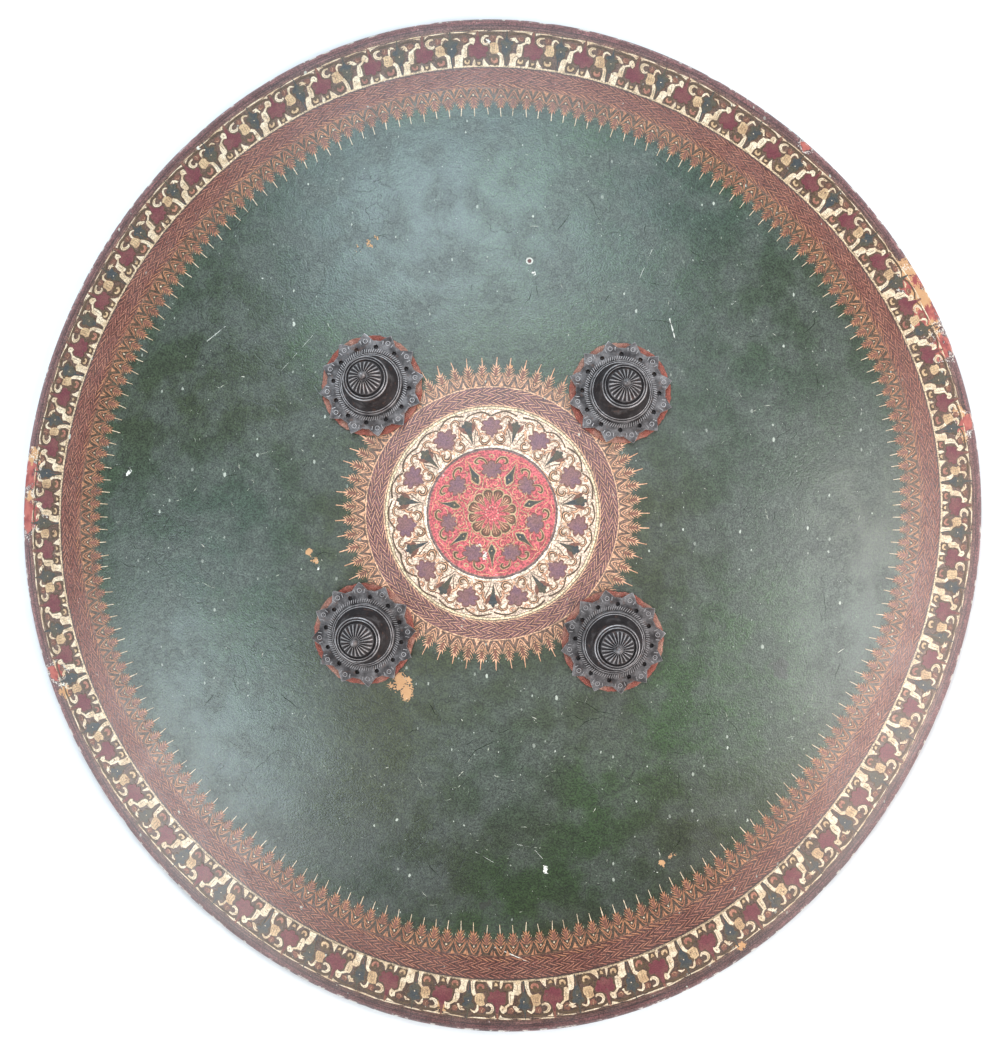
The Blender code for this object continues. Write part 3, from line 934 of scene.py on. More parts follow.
def medallion_flower_unit(pitch):
    """Plum flower and dark volutes on the pale ring, with a bud after it."""
    unit = motifs("plum green olive rust amber")
    plum, green, olive, rust, pale = unit.values()
    half = pitch / 2
    rust.plate(lobed(0, 40.6, 5.7, 4.7, 7, 0.30, turn=-90), 0.12)
    plum.plate(lobed(0, 40.6, 5.0, 4.1, 7, 0.34, turn=-90), 0.16)
    plum.plate(leaf((0, 37.9), (0, 34.6), 3.0, 0.3), 0.15)
    green.plate(lobed(half, 41.6, 2.3, 2.7, 5, 0.34, turn=-90), 0.16)
    green.plate(((half - 1.5, 40.4), (half, 32.6), (half + 1.5, 40.4), (half, 41.0)), 0.15)
    for way in (1, -1):
        def line(*points):
            return flowing([(way * x, y) for x, y in points], 3)

        hook = line((0.9, 35.4), (2.6, 33.0), (5.0, 32.4), (6.6, 34.0), (5.6, 35.6), (4.6, 34.8))
        olive.stroke(hook, 1.7, 0.12, 0.5, 0.6)
        pale.stroke(hook, 0.5, 0.17, 0.5, 0.5)
        curl = line((4.7, 42.6), (5.5, 45.0), (7.6, 45.7), (8.7, 44.2), (7.4, 43.0))
        olive.stroke(curl, 1.3, 0.12, 0.4, 0.6)
        pale.stroke(curl, 0.42, 0.17, 0.5, 0.5)
        for stem, wide in ((((7.0, 36.4), (6.6, 38.6), (7.8, 40.4), (7.4, 42.0)), 0.8),
                           (((1.4, 46.6), (3.2, 45.2), (3.9, 46.2), (3.0, 46.8)), 0.6),
                           (((3.2, 36.6), (4.6, 37.6), (6.0, 37.0), (6.4, 35.6)), 0.6),
                           (((0.4, 31.6), (3.6, 31.4), (7.6, 31.7), (half, 31.3)), 0.45),
                           (((0.8, 33.4), (1.6, 35.6), (2.4, 36.6)), 0.45)):
            pale.stroke(line(*stem), wide, 0.13, 0.4, 0.4)
            rust.stroke(line(*stem), wide * 1.7, 0.11, 0.5, 0.5)
        upper = line((half - 0.4, 46.6), (8.4, 47.6), (5.4, 48.0), (2.6, 47.2), (0.2, 45.6))
        olive.stroke(upper, 0.8, 0.13)
        lower = line((half - 0.6, 32.4), (9.6, 35.6), (8.2, 38.2), (7.6, 40.4), (8.8, 42.4))
        olive.stroke(lower, 0.55, 0.12, 0.6, 0.4)
        rust.plate(leaf((half - way * 1.3, 38.0), (half - way * 3.6, 43.8), 2.2, 0.5), 0.12)
        rust.stroke(line((half - 2.2, 45.4), (half - 1.4, 44.6), (half, 44.5)), 0.5, 0.13)
        olive.stroke(line((5.8, 38.2), (6.4, 36.8), (7.6, 36.6), (7.4, 37.8)), 0.5, 0.12, 0.4, 0.4)
        pale.dot(way * 2.4, 45.6, 0.5, 0.17, 6)
    pale.plate(leaf((0, 32.2), (0, 35.0), 1.1), 0.18)
    return unit


def disc_vine_unit(pitch):
    """Flower, bud, hooks and vine on the pink disc."""
    unit = motifs("plum green gold olive amber rust")
    plum, green, gold, olive, orange, rust = unit.values()
    half = pitch / 2
    rust.plate(lobed(0, 20.4, 4.9, 4.5, 7, 0.30, turn=-90), 0.12)
    plum.plate(lobed(0, 20.4, 4.4, 4.0, 7, 0.34, turn=-90), 0.16)
    for way in (1, -1):
        def line(*points):
            return flowing([(way * x, y) for x, y in points], 3)

        hook = line((1.7, 23.4), (2.8, 25.6), (4.8, 26.3), (5.8, 24.8), (4.8, 23.8))
        gold.stroke(hook, 1.5, 0.12, 0.6, 0.7)
        olive.stroke(hook, 0.8, 0.17, 0.6, 0.7)
        gold.stroke(line((4.2, 20.6), (5.8, 20.4), (7.0, 21.8), (6.4, 23.2)), 0.5, 0.14, 0.5, 0.5)
        foot = line((0.4, 14.2), (2.2, 13.2), (3.6, 14.4), (3.0, 16.2), (1.8, 15.6))
        orange.stroke(foot, 0.55, 0.15, 0.5, 0.5)
        arch = line((half, 12.8), (6.4, 13.9), (4.8, 16.6), (2.4, 17.3), (0, 16.2))
        gold.stroke(arch, 0.55, 0.14)
        orange.stroke(line((7.6, 15.0), (6.4, 17.0), (6.8, 18.6)), 0.5, 0.15, 0.5, 0.5)
        orange.stroke(line((7.4, 24.0), (8.2, 25.6), (8.9, 27.2)), 0.45, 0.15, 0.5, 0.5)
        gold.stroke(line((0.6, 17.6), (2.6, 18.8), (4.0, 17.2), (5.6, 17.9)), 0.5, 0.15, 0.5, 0.5)
        base = line((8.8, 13.0), (7.0, 12.6), (4.2, 12.5), (2.0, 12.0), (0, 12.6))
        gold.stroke(base, 0.5, 0.14, 0.7, 0.7)
        orange.stroke(line((3.4, 27.9), (5.6, 28.2), (7.6, 27.6), (8.9, 28.2)), 0.4, 0.14, 0.5, 0.5)
        olive.stroke(arc(way * 4.0, 14.4, 0.5, 0, 300, 6), 0.35, 0.16)
        rust.stroke(line((5.6, 14.6), (5.2, 16.0), (7.4, 16.4)), 0.4, 0.15, 0.4, 0.4)
    gold.circle(0, 26.6, 0.75, 0.5, 0.14, 9)
    bud = np.array(((0, 14.6), (-1.1, 15.8), (-2.0, 17.9), (-1.0, 19.8), (-0.5, 21.8), (0, 25.0),
                    (0.5, 21.8), (1.0, 19.8), (2.0, 17.9), (1.1, 15.8)))
    gold.plate((bud - (0, 19)) * (1.36, 1.12) + (half, 19), 0.12)
    green.plate(bud + (half, 0), 0.17)
    gold.dot(half, 17.4, 0.45, 0.2, 6)
    return unit


def rosette_unit():
    """One petal of the rosette in the middle."""
    unit = motifs("gold rust amber olive")
    gold, rust, pale, olive = unit.values()
    petal = np.array((
        (0, 3.9), (0.55, 5.6), (1.1, 7.4), (1.75, 8.9), (1.75, 10.1), (1.05, 11.0), (0, 11.35),
        (-1.05, 11.0), (-1.75, 10.1), (-1.75, 8.9), (-1.1, 7.4), (-0.55, 5.6),
    ))
    gold.plate((petal - (0, 8)) * (1.30, 1.10) + (0, 8.1), 0.10)
    olive.plate((petal - (0, 8)) * (1.04, 1.00) + (0, 8.0), 0.13)
    rust.plate((petal - (0, 8)) * (0.86, 0.90) + (0, 7.7), 0.16)
    pale.stroke(((0, 5.2), (0, 7.5), (0, 9.8)), 0.45, 0.19, 0.4, 1.0)
    for way in (1, -1):
        pale.stroke(((way * 0.45, 6.4), (way * 0.8, 8.0), (way, 9.4)), 0.3, 0.18, 0.4, 1.0)
    return unit


def amber(unit):
    """The same unit with its orange and pale strokes in the medallion's lighter amber."""
    merged = unit.pop("orange")
    pale = unit.pop("cream")
    shift = len(merged.points)
    merged.points += pale.points
    merged.faces += [tuple(i + shift for i in face) for face in pale.faces]
    return {**unit, "amber": merged}


def bead_unit(y, radius):
    unit = motifs("cream")
    unit["cream"].dot(0, y, radius, 0.22, 7)
    return unit


# Marks on the field


def on_field(x, y):
    """Whether a place is on the plain field, clear of the border, the medallion and the bosses."""
    turn = math.atan2(y + SHIFT[1] / MM, x + SHIFT[0] / MM)
    reach = outline_radius(turn) / MM - math.hypot(x + SHIFT[0] / MM, y + SHIFT[1] / MM)

    def away_from(place):
        return math.hypot(x - place[0] / MM, y - place[1] / MM)

    if border_depth(turn, reach * MM) < CLEAR_OF_BORDER * MM or away_from(MIDDLE) < CLEAR_OF_MEDALLION:
        return False
    return all(away_from(seat_place(corner)) > CLEAR_OF_BOSS for corner in CORNERS)


def field_marks_unit():
    """Short pale scuffs and long dark cracks, strewn loosely round a few worn places."""
    marks = motifs("scuff crack")
    loose = np.random.default_rng(31)
    for x, y, spread, scuffs, cracks in FIELD_MARKS:
        kinds = [("scuff", *SCUFF)] * scuffs + [("crack", *CRACK)] * cracks
        for colour, length, width in kinds:
            place = loose.normal((x, y), spread)
            steps = 6
            heading = loose.uniform(0, math.tau) + np.cumsum(loose.normal(0, 0.32, steps))
            step = length * loose.lognormal(0, 0.55) / steps
            way = np.stack((np.cos(heading), np.sin(heading)), axis=-1)
            line = place + np.cumsum(way * step, axis=0)
            if on_field(*line[0]) and on_field(*line[-1]):
                marks[colour].stroke(line, width * loose.uniform(0.6, 1.4), 0.02, 0.4, 0.3)
    return marks


# Materials


def opaque(colour):
    return (*colour[:3], 1)


@built_once
def old_paint(name):
    """Lacquer paint that has dulled, crazed and rubbed through to a ground colour."""
    white = (1.0, 1.0, 1.0, 1.0)
    takes = {"Place": "Vector", "Paint": white, "Second": white, "Ground": white, "Wear": 0.3}
    gives = {"Color": "Color", "Roughness": "Float", "Height": "Float"}
    tree, w, given, out = new_group(name, takes, gives)
    place = given["Place"]
    tone = w.fade(w.noise(place, 170.0, 2.0), 0.38, 0.64)
    colour = w.blend(tone, given["Paint"], given["Second"])
    speck = w.noise(place, 1500.0, 1.0)
    grain = w.fade(speck, 0.3, 0.7, 0.72, 1.25)
    colour = w.shaded(colour, grain)
    rub = w.noise(place, 560.0, 3.0)
    limit = w.minus(0.74, w.times(given["Wear"], 0.35))
    worn = w.fade(rub, limit, w.plus(limit, 0.06))
    crack = w.times(w.near(rub, 0.44, 0.016), w.fade(tone, 0.2, 0.8))
    colour = w.blend(w.larger(worn, w.times(crack, 0.45)), colour, given["Ground"])
    w.feed(out, {
        "Color": colour,
        "Roughness": w.plus(w.fade(speck, 0.2, 0.8, 0.32, 0.48), w.times(worn, 0.2)),
        "Height": w.minus(w.times(speck, 0.3), w.times(worn, 0.5)),
    })
    return tree


@built_once
def scratch(name):
    """Mask that is 1 along a straight scratch between two points."""
    takes = {"Place": "Vector", "Shake": 0.5, "From": "Vector", "To": "Vector", "Width": 0.0005}
    tree, w, given, out = new_group(name, takes, {"Mask": "Float"})
    flat = w.vector("MULTIPLY", given["Place"], (1, 1, 0))
    away = w.vector("SUBTRACT", flat, given["From"])
    line = w.vector("SUBTRACT", given["To"], given["From"])
    share = w.math("DIVIDE", w.vector("DOT_PRODUCT", away, line), w.vector("DOT_PRODUCT", line, line))
    nearest = w.scaled(line, w.math("MINIMUM", w.larger(share, 0.0), 1.0))
    gap = w.vector("LENGTH", w.vector("SUBTRACT", away, nearest))
    width = w.times(given["Width"], w.fade(given["Shake"], 0.38, 0.6))
    w.join(out["Mask"], w.below(gap, w.times(width, 0.5)))
    return tree


@built_once
def forged_iron(name):
    """Dark patina on worked iron: brown rust in the hollows, rubbed bright on what stands proud."""
    takes = {"Place": "Vector", "Proud": 0.4, "Dark": (0.03, 0.025, 0.02, 1.0),
             "Bare": (0.3, 0.27, 0.25, 1.0), "Rust": (0.12, 0.05, 0.03, 1.0)}
    gives = {"Color": "Color", "Roughness": "Float", "Height": "Float", "Metallic": "Float"}
    tree, w, given, out = new_group(name, takes, gives)
    place = given["Place"]
    patch = w.noise(place, 240.0, 4.0)
    fine = w.noise(place, 1900.0, 2.0)
    rubbed = w.fade(w.plus(given["Proud"], w.times(w.minus(patch, 0.5), 0.9)), 0.15, 0.95)
    colour = w.blend(rubbed, given["Dark"], given["Bare"])
    rusty = w.times(w.fade(w.noise(place, 420.0, 4.0), 0.56, 0.72), w.fade(given["Proud"], 0.9, 0.3))
    colour = w.blend(w.times(rusty, 0.5), colour, given["Rust"])
    w.feed(out, {
        "Color": w.shaded(colour, w.fade(fine, 0.3, 0.7, 0.75, 1.2)),
        "Roughness": w.minus(w.fade(fine, 0.2, 0.8, 0.48, 0.62), w.times(rubbed, 0.14)),
        "Metallic": w.fade(rusty, 0.2, 0.9, 0.55, 0.2),
        "Height": w.plus(w.times(patch, 0.6), w.times(fine, 0.4)),
    })
    return tree


@built_once
def leather_grain(name):
    """Grained leather with darkened, handled places."""
    brown, pale_brown = (0.2, 0.1, 0.05, 1.0), (0.3, 0.18, 0.1, 1.0)
    takes = {"Place": "Vector", "Leather": brown, "Worn": pale_brown, "Scale": 900.0}
    gives = {"Color": "Color", "Roughness": "Float", "Height": "Float"}
    tree, w, given, out = new_group(name, takes, gives)
    place = given["Place"]
    pebble = w.fade(w.cell_edges(place, given["Scale"]), 0.0, 0.22)
    patch = w.noise(place, 90.0, 4.0)
    colour = w.blend(w.fade(patch, 0.42, 0.66), given["Leather"], given["Worn"])
    cloud = w.fade(w.noise(place, 700.0, 3.0), 0.3, 0.7, 0.8, 1.15)
    w.feed(out, {
        "Color": w.shaded(colour, w.times(w.fade(pebble, 0.0, 1.0, 0.72, 1.1), cloud)),
        "Roughness": w.fade(patch, 0.3, 0.7, 0.68, 0.5),
        "Height": w.plus(pebble, w.times(patch, 0.5)),
    })
    return tree


def new_material(name):
    """Empty material, its wiring, its shader and the place on the piece."""
    material = bpy.data.materials.new(name)
    material.use_nodes = True
    tree = material.node_tree
    tree.nodes.clear()
    w = Wiring(tree)
    shader = w.add("ShaderNodeBsdfPrincipled")
    w.add("ShaderNodeOutputMaterial", {"Surface": shader.outputs[0]})
    return material, w, shader, w.add("ShaderNodeTexCoord").outputs["Object"]


# Paint: main colour, second colour, what shows where it is worn, slot in the record, wear
PAINTS = {
    "cream": ((0.80, 0.64, 0.46), (0.64, 0.46, 0.29), (0.22, 0.12, 0.07), "cream_paint", 0.28),
    "gold": ((0.62, 0.42, 0.24), (0.50, 0.31, 0.17), (0.18, 0.09, 0.06), "gold_paint", 0.30),
    "amber": ((0.86, 0.46, 0.28), (0.68, 0.34, 0.19), (0.17, 0.085, 0.06), "gold_paint", 0.30),
    "orange": ((0.50, 0.225, 0.115), (0.38, 0.150, 0.085), (0.14, 0.06, 0.04), "orange_paint", 0.34),
    "brick": ((0.44, 0.190, 0.120), (0.32, 0.120, 0.085), (0.14, 0.055, 0.045), "orange_paint", 0.42),
    "rust": ((0.23, 0.090, 0.060), (0.18, 0.075, 0.050), (0.09, 0.05, 0.04), "orange_paint", 0.30),
    "maroon": ((0.162, 0.034, 0.044), (0.190, 0.058, 0.056), (0.13, 0.07, 0.05), "maroon_paint", 0.22),
    "plum": ((0.21, 0.105, 0.130), (0.25, 0.120, 0.115), (0.15, 0.08, 0.06), "maroon_paint", 0.30),
    "green": ((0.050, 0.056, 0.060), (0.085, 0.072, 0.048), (0.17, 0.12, 0.07), "olive_paint", 0.25),
    "olive": ((0.120, 0.072, 0.038), (0.090, 0.055, 0.032), (0.20, 0.12, 0.07), "olive_paint", 0.25),
    "scuff": ((0.60, 0.58, 0.47), (0.22, 0.25, 0.18), (0.035, 0.050, 0.035), "cream_paint", 0.60),
    "crack": ((0.012, 0.016, 0.010), (0.030, 0.038, 0.026), (0.035, 0.050, 0.035), "olive_paint", 0.60),
}


def paint(colour):
    """Material of one of the paints used on the ornament."""
    material = bpy.data.materials.get("old_" + colour + "_paint")
    if material:
        return material
    first, second, ground, _slot, wear = PAINTS[colour]
    material, w, shader, place = new_material("old_" + colour + "_paint")
    old = w.group(old_paint(), {
        "Place": place, "Paint": opaque(first), "Second": opaque(second), "Ground": opaque(ground),
        "Wear": wear * bpy.context.scene.shield_ornament.wear,
    })
    w.feed(shader.inputs, {
        "Base Color": old["Color"], "Roughness": old["Roughness"],
        "Normal": w.bump(old["Height"], 0.35, 0.0002),
        "Specular IOR Level": 0.05 if colour == "crack" else 0.8,
    })
    return material


BORDER_BANDS = (  # distance in from the edge in mm, colour
    (0.0, (0.168, 0.070, 0.066)), (1.9, (0.146, 0.058, 0.056)), (3.3, (0.070, 0.033, 0.034)),
    (3.8, (0.150, 0.070, 0.060)), (4.9, (0.105, 0.048, 0.040)), (5.3, (0.160, 0.076, 0.055)),
    (6.1, (0.075, 0.040, 0.034)), (6.5, (0.270, 0.165, 0.105)), (7.0, (0.120, 0.066, 0.043)),
    (8.2, (0.120, 0.062, 0.041)), (24.6, (0.080, 0.042, 0.028)), (25.0, (0.560, 0.400, 0.250)),
    (25.85, (0.080, 0.040, 0.034)), (26.5, (0.130, 0.044, 0.034)), (36.2, (0.370, 0.165, 0.095)),
    (36.5, (0.080, 0.040, 0.030)), (36.75, (0.340, 0.150, 0.085)), (37.05, (0.095, 0.055, 0.032)),
    (41.0, (0.075, 0.060, 0.036)), (43.2, (0.082, 0.052, 0.034)),
)
MEDALLION_BANDS = (  # distance from the middle in mm, colour
    (0.0, (0.530, 0.094, 0.104)), (29.2, (0.320, 0.160, 0.100)), (29.6, (0.160, 0.090, 0.095)),
    (30.3, (0.100, 0.055, 0.040)), (30.6, (0.850, 0.700, 0.530)), (31.6, (0.740, 0.525, 0.390)),
    (48.2, (0.140, 0.080, 0.045)), (48.6, (0.740, 0.560, 0.350)), (49.6, (0.080, 0.045, 0.032)),
    (49.9, (0.600, 0.350, 0.210)), (50.4, (0.150, 0.060, 0.062)), (58.6, (0.620, 0.350, 0.210)),
    (59.1, (0.120, 0.065, 0.046)), (59.4, (0.160, 0.088, 0.060)), (63.4, (0.100, 0.072, 0.046)),
)
BORDER_GROUND = 44.4  # mm in from the edge, where the fringe's ground ends
MEDALLION_GROUND = 66.0  # mm from the middle


def hide_face_material():
    """Green lacquered field with the coloured bands of the border and the medallion."""
    settings = bpy.context.scene.shield_hide
    material, w, shader, place = new_material("painted_hide_face")
    spot = w.add("ShaderNodeSeparateXYZ", {0: place}).outputs

    # the field, clouded and streaked
    mottle = w.noise(place, 60.0, 3.0)
    fine = w.noise(place, 1250.0, 2.0)
    rough = w.noise(place, 250.0, 4.0)
    olive = w.stored("olive")
    field = w.blend(olive, opaque(settings.green), opaque(settings.olive))
    field = w.blend(w.stored("vivid"), field, opaque(settings.vivid))
    # pale clouding: partly a bloom in the old varnish, partly painted sheen; less of it where the field
    # is olive, which is mostly lower down
    bloom_and_sheen = w.times(w.fade(mottle, 0.40, 0.66, 0.0, 0.65), w.fade(olive, 0.5, 1.0, 1.0, 0.4))
    field = w.blend(bloom_and_sheen, field, opaque(settings.pale))
    cracks = w.noise(place, 44.0, 3.0)
    crack = w.times(w.near(cracks, 0.5, 0.010), w.stored("crazed"))
    hair = w.times(w.near(cracks, 0.43, 0.0045), w.fade(mottle, 0.44, 0.60, 0.0, 0.34))
    craze = w.times(w.near(rough, 0.47, 0.020), w.fade(mottle, 0.40, 0.62, 0.05, 0.70))
    dark_lines = w.larger(w.times(crack, 0.75), w.times(craze, 0.75))
    field = w.blend(hair, field, (0.150, 0.160, 0.130, 1))
    field = w.blend(dark_lines, field, (0.012, 0.018, 0.010, 1))
    grain = w.times(w.fade(fine, 0.34, 0.66, 0.50, 1.55), w.fade(rough, 0.34, 0.66, 0.84, 1.18))

    # the bands, each edge a little unsteady
    shake = w.times(w.minus(rough, 0.5), 0.9 * MM)
    inward = w.stored("from_edge")
    across = w.minus(spot["X"], MIDDLE[0])
    up = w.minus(spot["Y"], MIDDLE[1])
    outward = w.math("SQRT", w.plus(w.times(across, across), w.times(up, up)))
    border = w.bands(w.plus(inward, shake), 50.0, BORDER_BANDS)
    medallion = w.bands(w.plus(outward, shake), 80.0, MEDALLION_BANDS)
    colour = w.blend(w.below(w.plus(inward, shake), BORDER_GROUND * MM), field, border)
    colour = w.blend(w.below(w.plus(outward, shake), MEDALLION_GROUND * MM), colour, medallion)

    # fine lines along the edge, where the lacquer was laid on turning, and painted shade towards the
    # bottom
    turn = w.math("ARCTAN2", spot["Y"], spot["X"])
    along = {0: w.times(inward, 2600.0), 1: w.times(turn, 9.0)}
    along = w.add("ShaderNodeCombineXYZ", along).outputs[0]
    streak = w.fade(w.noise(along, 1.0, 1.0), 0.3, 0.7, 0.55, 1.5)
    in_rim = w.fade(inward, 7.6 * MM, 6.6 * MM)
    streak = w.plus(w.times(w.minus(streak, 1.0), in_rim), 1.0)
    low_down = w.fade(spot["Y"], -0.08, -0.20)
    # painted shade: the whole face, bands too, is made up to 30 per cent darker towards the bottom
    colour = w.shaded(colour, w.times(w.times(grain, streak), w.fade(low_down, 0.0, 1.0, 1.0, 0.70)))

    # flecks, scratches and losses
    drawn = w.vector("MULTIPLY", place, (1.0, 0.62, 1.0))
    dots = w.add("ShaderNodeTexVoronoi", {"Vector": drawn, "Scale": 185.0}, voronoi_dimensions="2D")
    chance = w.add("ShaderNodeSeparateXYZ", {0: dots.outputs["Color"]}).outputs
    size = w.times(w.fade(chance[0], 0.45, 1.0), w.fade(mottle, 0.40, 0.64, 0.45, 1.0))
    size = w.times(w.math("POWER", size, 3.0), 0.125)
    reach = w.plus(dots.outputs["Distance"], w.times(w.minus(fine, 0.5), 0.20))
    flecks = w.times(w.below(reach, size), w.fade(chance[1], 0.0, 1.0, 0.3, 0.8))
    ragged = w.plus(w.times(rough, 0.6), w.times(fine, 0.4))
    ragged = w.times(w.minus(ragged, 0.5), 1.9)
    marks = {name: w.plus(w.stored(name), ragged) for name in SPOTS}
    round_red = w.times(w.fade(marks["red"], 0.60, 0.52), w.fade(fine, 0.50, 0.54))
    crumbs = w.times(w.fade(marks["red"], 0.36, 0.42), round_red)
    marks = {name: w.fade(value, 0.50, 0.54) for name, value in marks.items()}
    tan = w.blend(rough, (0.46, 0.22, 0.085, 1), (0.66, 0.36, 0.17, 1))
    red = w.blend(w.fade(rough, 0.35, 0.65), (0.28, 0.040, 0.036, 1), (0.47, 0.115, 0.085, 1))
    pale = w.blend(fine, (0.58, 0.56, 0.48, 1), (0.96, 0.92, 0.84, 1))
    colour = w.blend(flecks, colour, (0.62, 0.64, 0.54, 1))
    colour = w.blend(marks["red"], colour, red)
    colour = w.blend(marks["bare"], colour, tan)
    colour = w.blend(w.times(marks["dark"], 0.8), colour, (0.022, 0.022, 0.016, 1))
    white = w.larger(marks["chalk"], w.times(crumbs, 0.8))
    for start, end, width in SCRATCHES:
        mask = w.group(scratch(), {
            "Place": place, "Shake": rough, "From": (start[0] * MM, start[1] * MM, 0),
            "To": (end[0] * MM, end[1] * MM, 0), "Width": width * MM,
        })["Mask"]
        white = w.larger(white, mask)
    hole_place = (RINGED_HOLE[0] * MM, RINGED_HOLE[1] * MM, 0)
    hole = w.vector("SUBTRACT", w.vector("MULTIPLY", place, (1, 1, 0)), hole_place)
    hole = w.plus(w.vector("LENGTH", hole), w.times(ragged, 0.5 * MM))
    chipped = w.fade(w.plus(rough, w.times(low_down, 0.02)), 0.57, 0.60)
    edge_chips = w.times(w.fade(inward, 1.3 * MM, 0.3 * MM), chipped)
    white = w.larger(white, w.times(w.below(hole, 1.7 * MM), 0.75))
    white = w.larger(white, w.times(edge_chips, 0.7))
    colour = w.blend(white, colour, pale)
    colour = w.blend(w.below(hole, 1.0 * MM), colour, (0.10, 0.025, 0.02, 1))

    lost = w.larger(w.larger(marks["bare"], marks["red"]), white)
    height = w.plus(w.times(fine, 0.5), w.times(rough, 0.6))
    height = w.minus(w.minus(height, w.times(dark_lines, 0.25)), w.times(lost, 0.8))
    w.feed(shader.inputs, {
        "Base Color": colour,
        "Roughness": w.plus(w.fade(mottle, 0.36, 0.64, 0.345, 0.455), w.times(lost, 0.3)),
        "Normal": w.bump(height, 0.5, 0.0005), "Specular IOR Level": 1.0,
    })
    return material


def hide_inside_material():
    """Plain dark lacquer on the hollow side."""
    settings = bpy.context.scene.shield_hide
    material, w, shader, place = new_material("hide_inside")
    old = w.group(old_paint(), {
        "Place": place, "Paint": opaque(settings.inside),
        "Second": opaque([c * 0.6 for c in settings.inside]),
        "Ground": (0.12, 0.055, 0.025, 1), "Wear": 0.34,
    })
    w.feed(shader.inputs, {
        "Base Color": w.shaded(old["Color"], w.fade(w.noise(place, 14.0, 5.0), 0.35, 0.65, 0.65, 1.35)),
        "Roughness": w.plus(old["Roughness"], 0.12),
        "Normal": w.bump(w.plus(old["Height"], w.noise(place, 90.0, 4.0)), 0.5, 0.0006),
    })
    return material


def iron_material(name):
    """Iron whose proud parts, stored on the mesh, are rubbed brighter."""
    material = bpy.data.materials.get(name)
    if material:
        return material
    settings = bpy.context.scene.shield_boss
    material, w, shader, place = new_material(name)
    iron = w.group(forged_iron(), {
        "Place": place, "Proud": w.stored("proud"),
        "Dark": opaque(settings.dark), "Bare": opaque(settings.rubbed),
    })
    w.feed(shader.inputs, {
        "Base Color": iron["Color"], "Roughness": iron["Roughness"], "Metallic": iron["Metallic"],
        "Normal": w.bump(iron["Height"], 0.5, 0.0003),
    })
    return material


def leather_material(name, leather, worn, scale, strength=0.5):
    material, w, shader, place = new_material(name)
    inputs = {"Place": place, "Leather": opaque(leather), "Worn": opaque(worn), "Scale": scale}
    grain = w.group(leather_grain(), inputs)
    w.feed(shader.inputs, {
        "Base Color": grain["Color"], "Roughness": grain["Roughness"],
        "Normal": w.bump(grain["Height"], strength, 0.0003),
    })
    return material


# Settings that a user would change


def colour_setting(name, description, default):
    return bpy.props.FloatVectorProperty(
        name=name, description=description, default=default, min=0, max=1,
        size=3, precision=4, subtype="COLOR",
    )


def count_setting(name, description, default, least, most):
    return bpy.props.IntProperty(
        name=name, description=description, default=default, min=least, max=most,
    )


class ShieldHideSettings(bpy.types.PropertyGroup):
    unevenness: bpy.props.FloatProperty(
        name="Unevenness", description="How far the hide swells from its true shape",
        default=0.00025, min=0, max=0.001, unit="LENGTH", precision=5,
    )
    segments: count_setting("Segments", "Faces round the hide", 480, 96, 720)
    green: colour_setting("Green", "Main colour of the field", (0.0345, 0.0565, 0.0370))
    olive: colour_setting("Olive", "Colour the field turns to lower down", (0.0320, 0.0385, 0.0130))
    vivid: colour_setting("Vivid Green", "Colour of the cleanest places", (0.0260, 0.0570, 0.0160))
    # the pale colour stands partly for a bloom in the varnish and partly for painted sheen
    pale: colour_setting("Pale", "Colour of the field where it has bloomed", (0.0600, 0.0710, 0.0570))
    inside: colour_setting("Inside", "Lacquer on the hollow side", (0.060, 0.022, 0.014))


class ShieldOrnamentSettings(bpy.types.PropertyGroup):
    flowers: count_setting("Border Flowers", "Flowers round the border, in fives", 55, 20, 90)
    finials: count_setting("Border Finials", "Palmettes round the inside of the border", 200, 40, 300)
    chevrons: count_setting("Border Chevrons", "Strokes in each row of its herringbone", 430, 60, 600)
    medallion_flowers: count_setting("Medallion Flowers", "Flowers round its pale ring", 11, 6, 18)
    medallion_finials: count_setting("Medallion Finials", "Palmettes round its outside", 65, 20, 90)
    wobble: bpy.props.FloatProperty(
        name="Unsteadiness", description="How far a painted line strays, in millimetres",
        default=0.32, min=0, max=1,
    )
    wear: bpy.props.FloatProperty(
        name="Wear", description="How much of the painted ornament is rubbed away",
        default=1.0, min=0, max=2,
    )


class ShieldBossSettings(bpy.types.PropertyGroup):
    ribs: count_setting("Ribs", "Ribs round the cap of a boss", 22, 8, 36)
    hatches: count_setting("Hatches", "Cut strokes round the foot of a boss", 96, 24, 140)
    dark: colour_setting("Patina", "Dark patina of the iron", (0.034, 0.028, 0.029))
    rubbed: colour_setting("Rubbed Iron", "Iron where it stands proud", (0.420, 0.385, 0.385))
    washer: colour_setting("Washer", "Red leather under a boss", (0.360, 0.095, 0.065))


class ShieldGripSettings(bpy.types.PropertyGroup):
    stitches: count_setting("Stitches", "Stitches along each edge of a grip", 26, 6, 60)
    leather: colour_setting("Leather", "Leather of the grips", (0.110, 0.048, 0.022))
    thread: colour_setting("Thread", "Thread of the stitches", (0.420, 0.300, 0.170))


class ShieldStageSettings(bpy.types.PropertyGroup):
    floor: colour_setting("Floor", "Colour of the floor", (0.86, 0.86, 0.87))
    power: bpy.props.FloatProperty(
        name="Lamp Power", description="Power of each soft lamp", default=15.0, min=0, unit="POWER",
    )
    fill: bpy.props.FloatProperty(
        name="Fill", description="Strength of the light from all round", default=0.24, min=0, max=3,
    )


# Pieces


def spot_field(spots, x, y):
    """Value of 1 in the middle of each spot, falling to 0 at twice its radius."""
    value = np.zeros_like(x)
    for spot_x, spot_y, radius in spots:
        away = np.hypot(x / MM - spot_x, y / MM - spot_y) / radius
        value = np.maximum(value, np.clip(1.0 - 0.5 * away, 0, 1))
    return value


FACE_DISC = (0.36, 0.64, 0.355)  # the two sides in the UV layout: middle and radius
INSIDE_DISC = (0.86, 0.14, 0.135)
INNERMOST = 0.02  # share of the radius where the inside's last ring lies


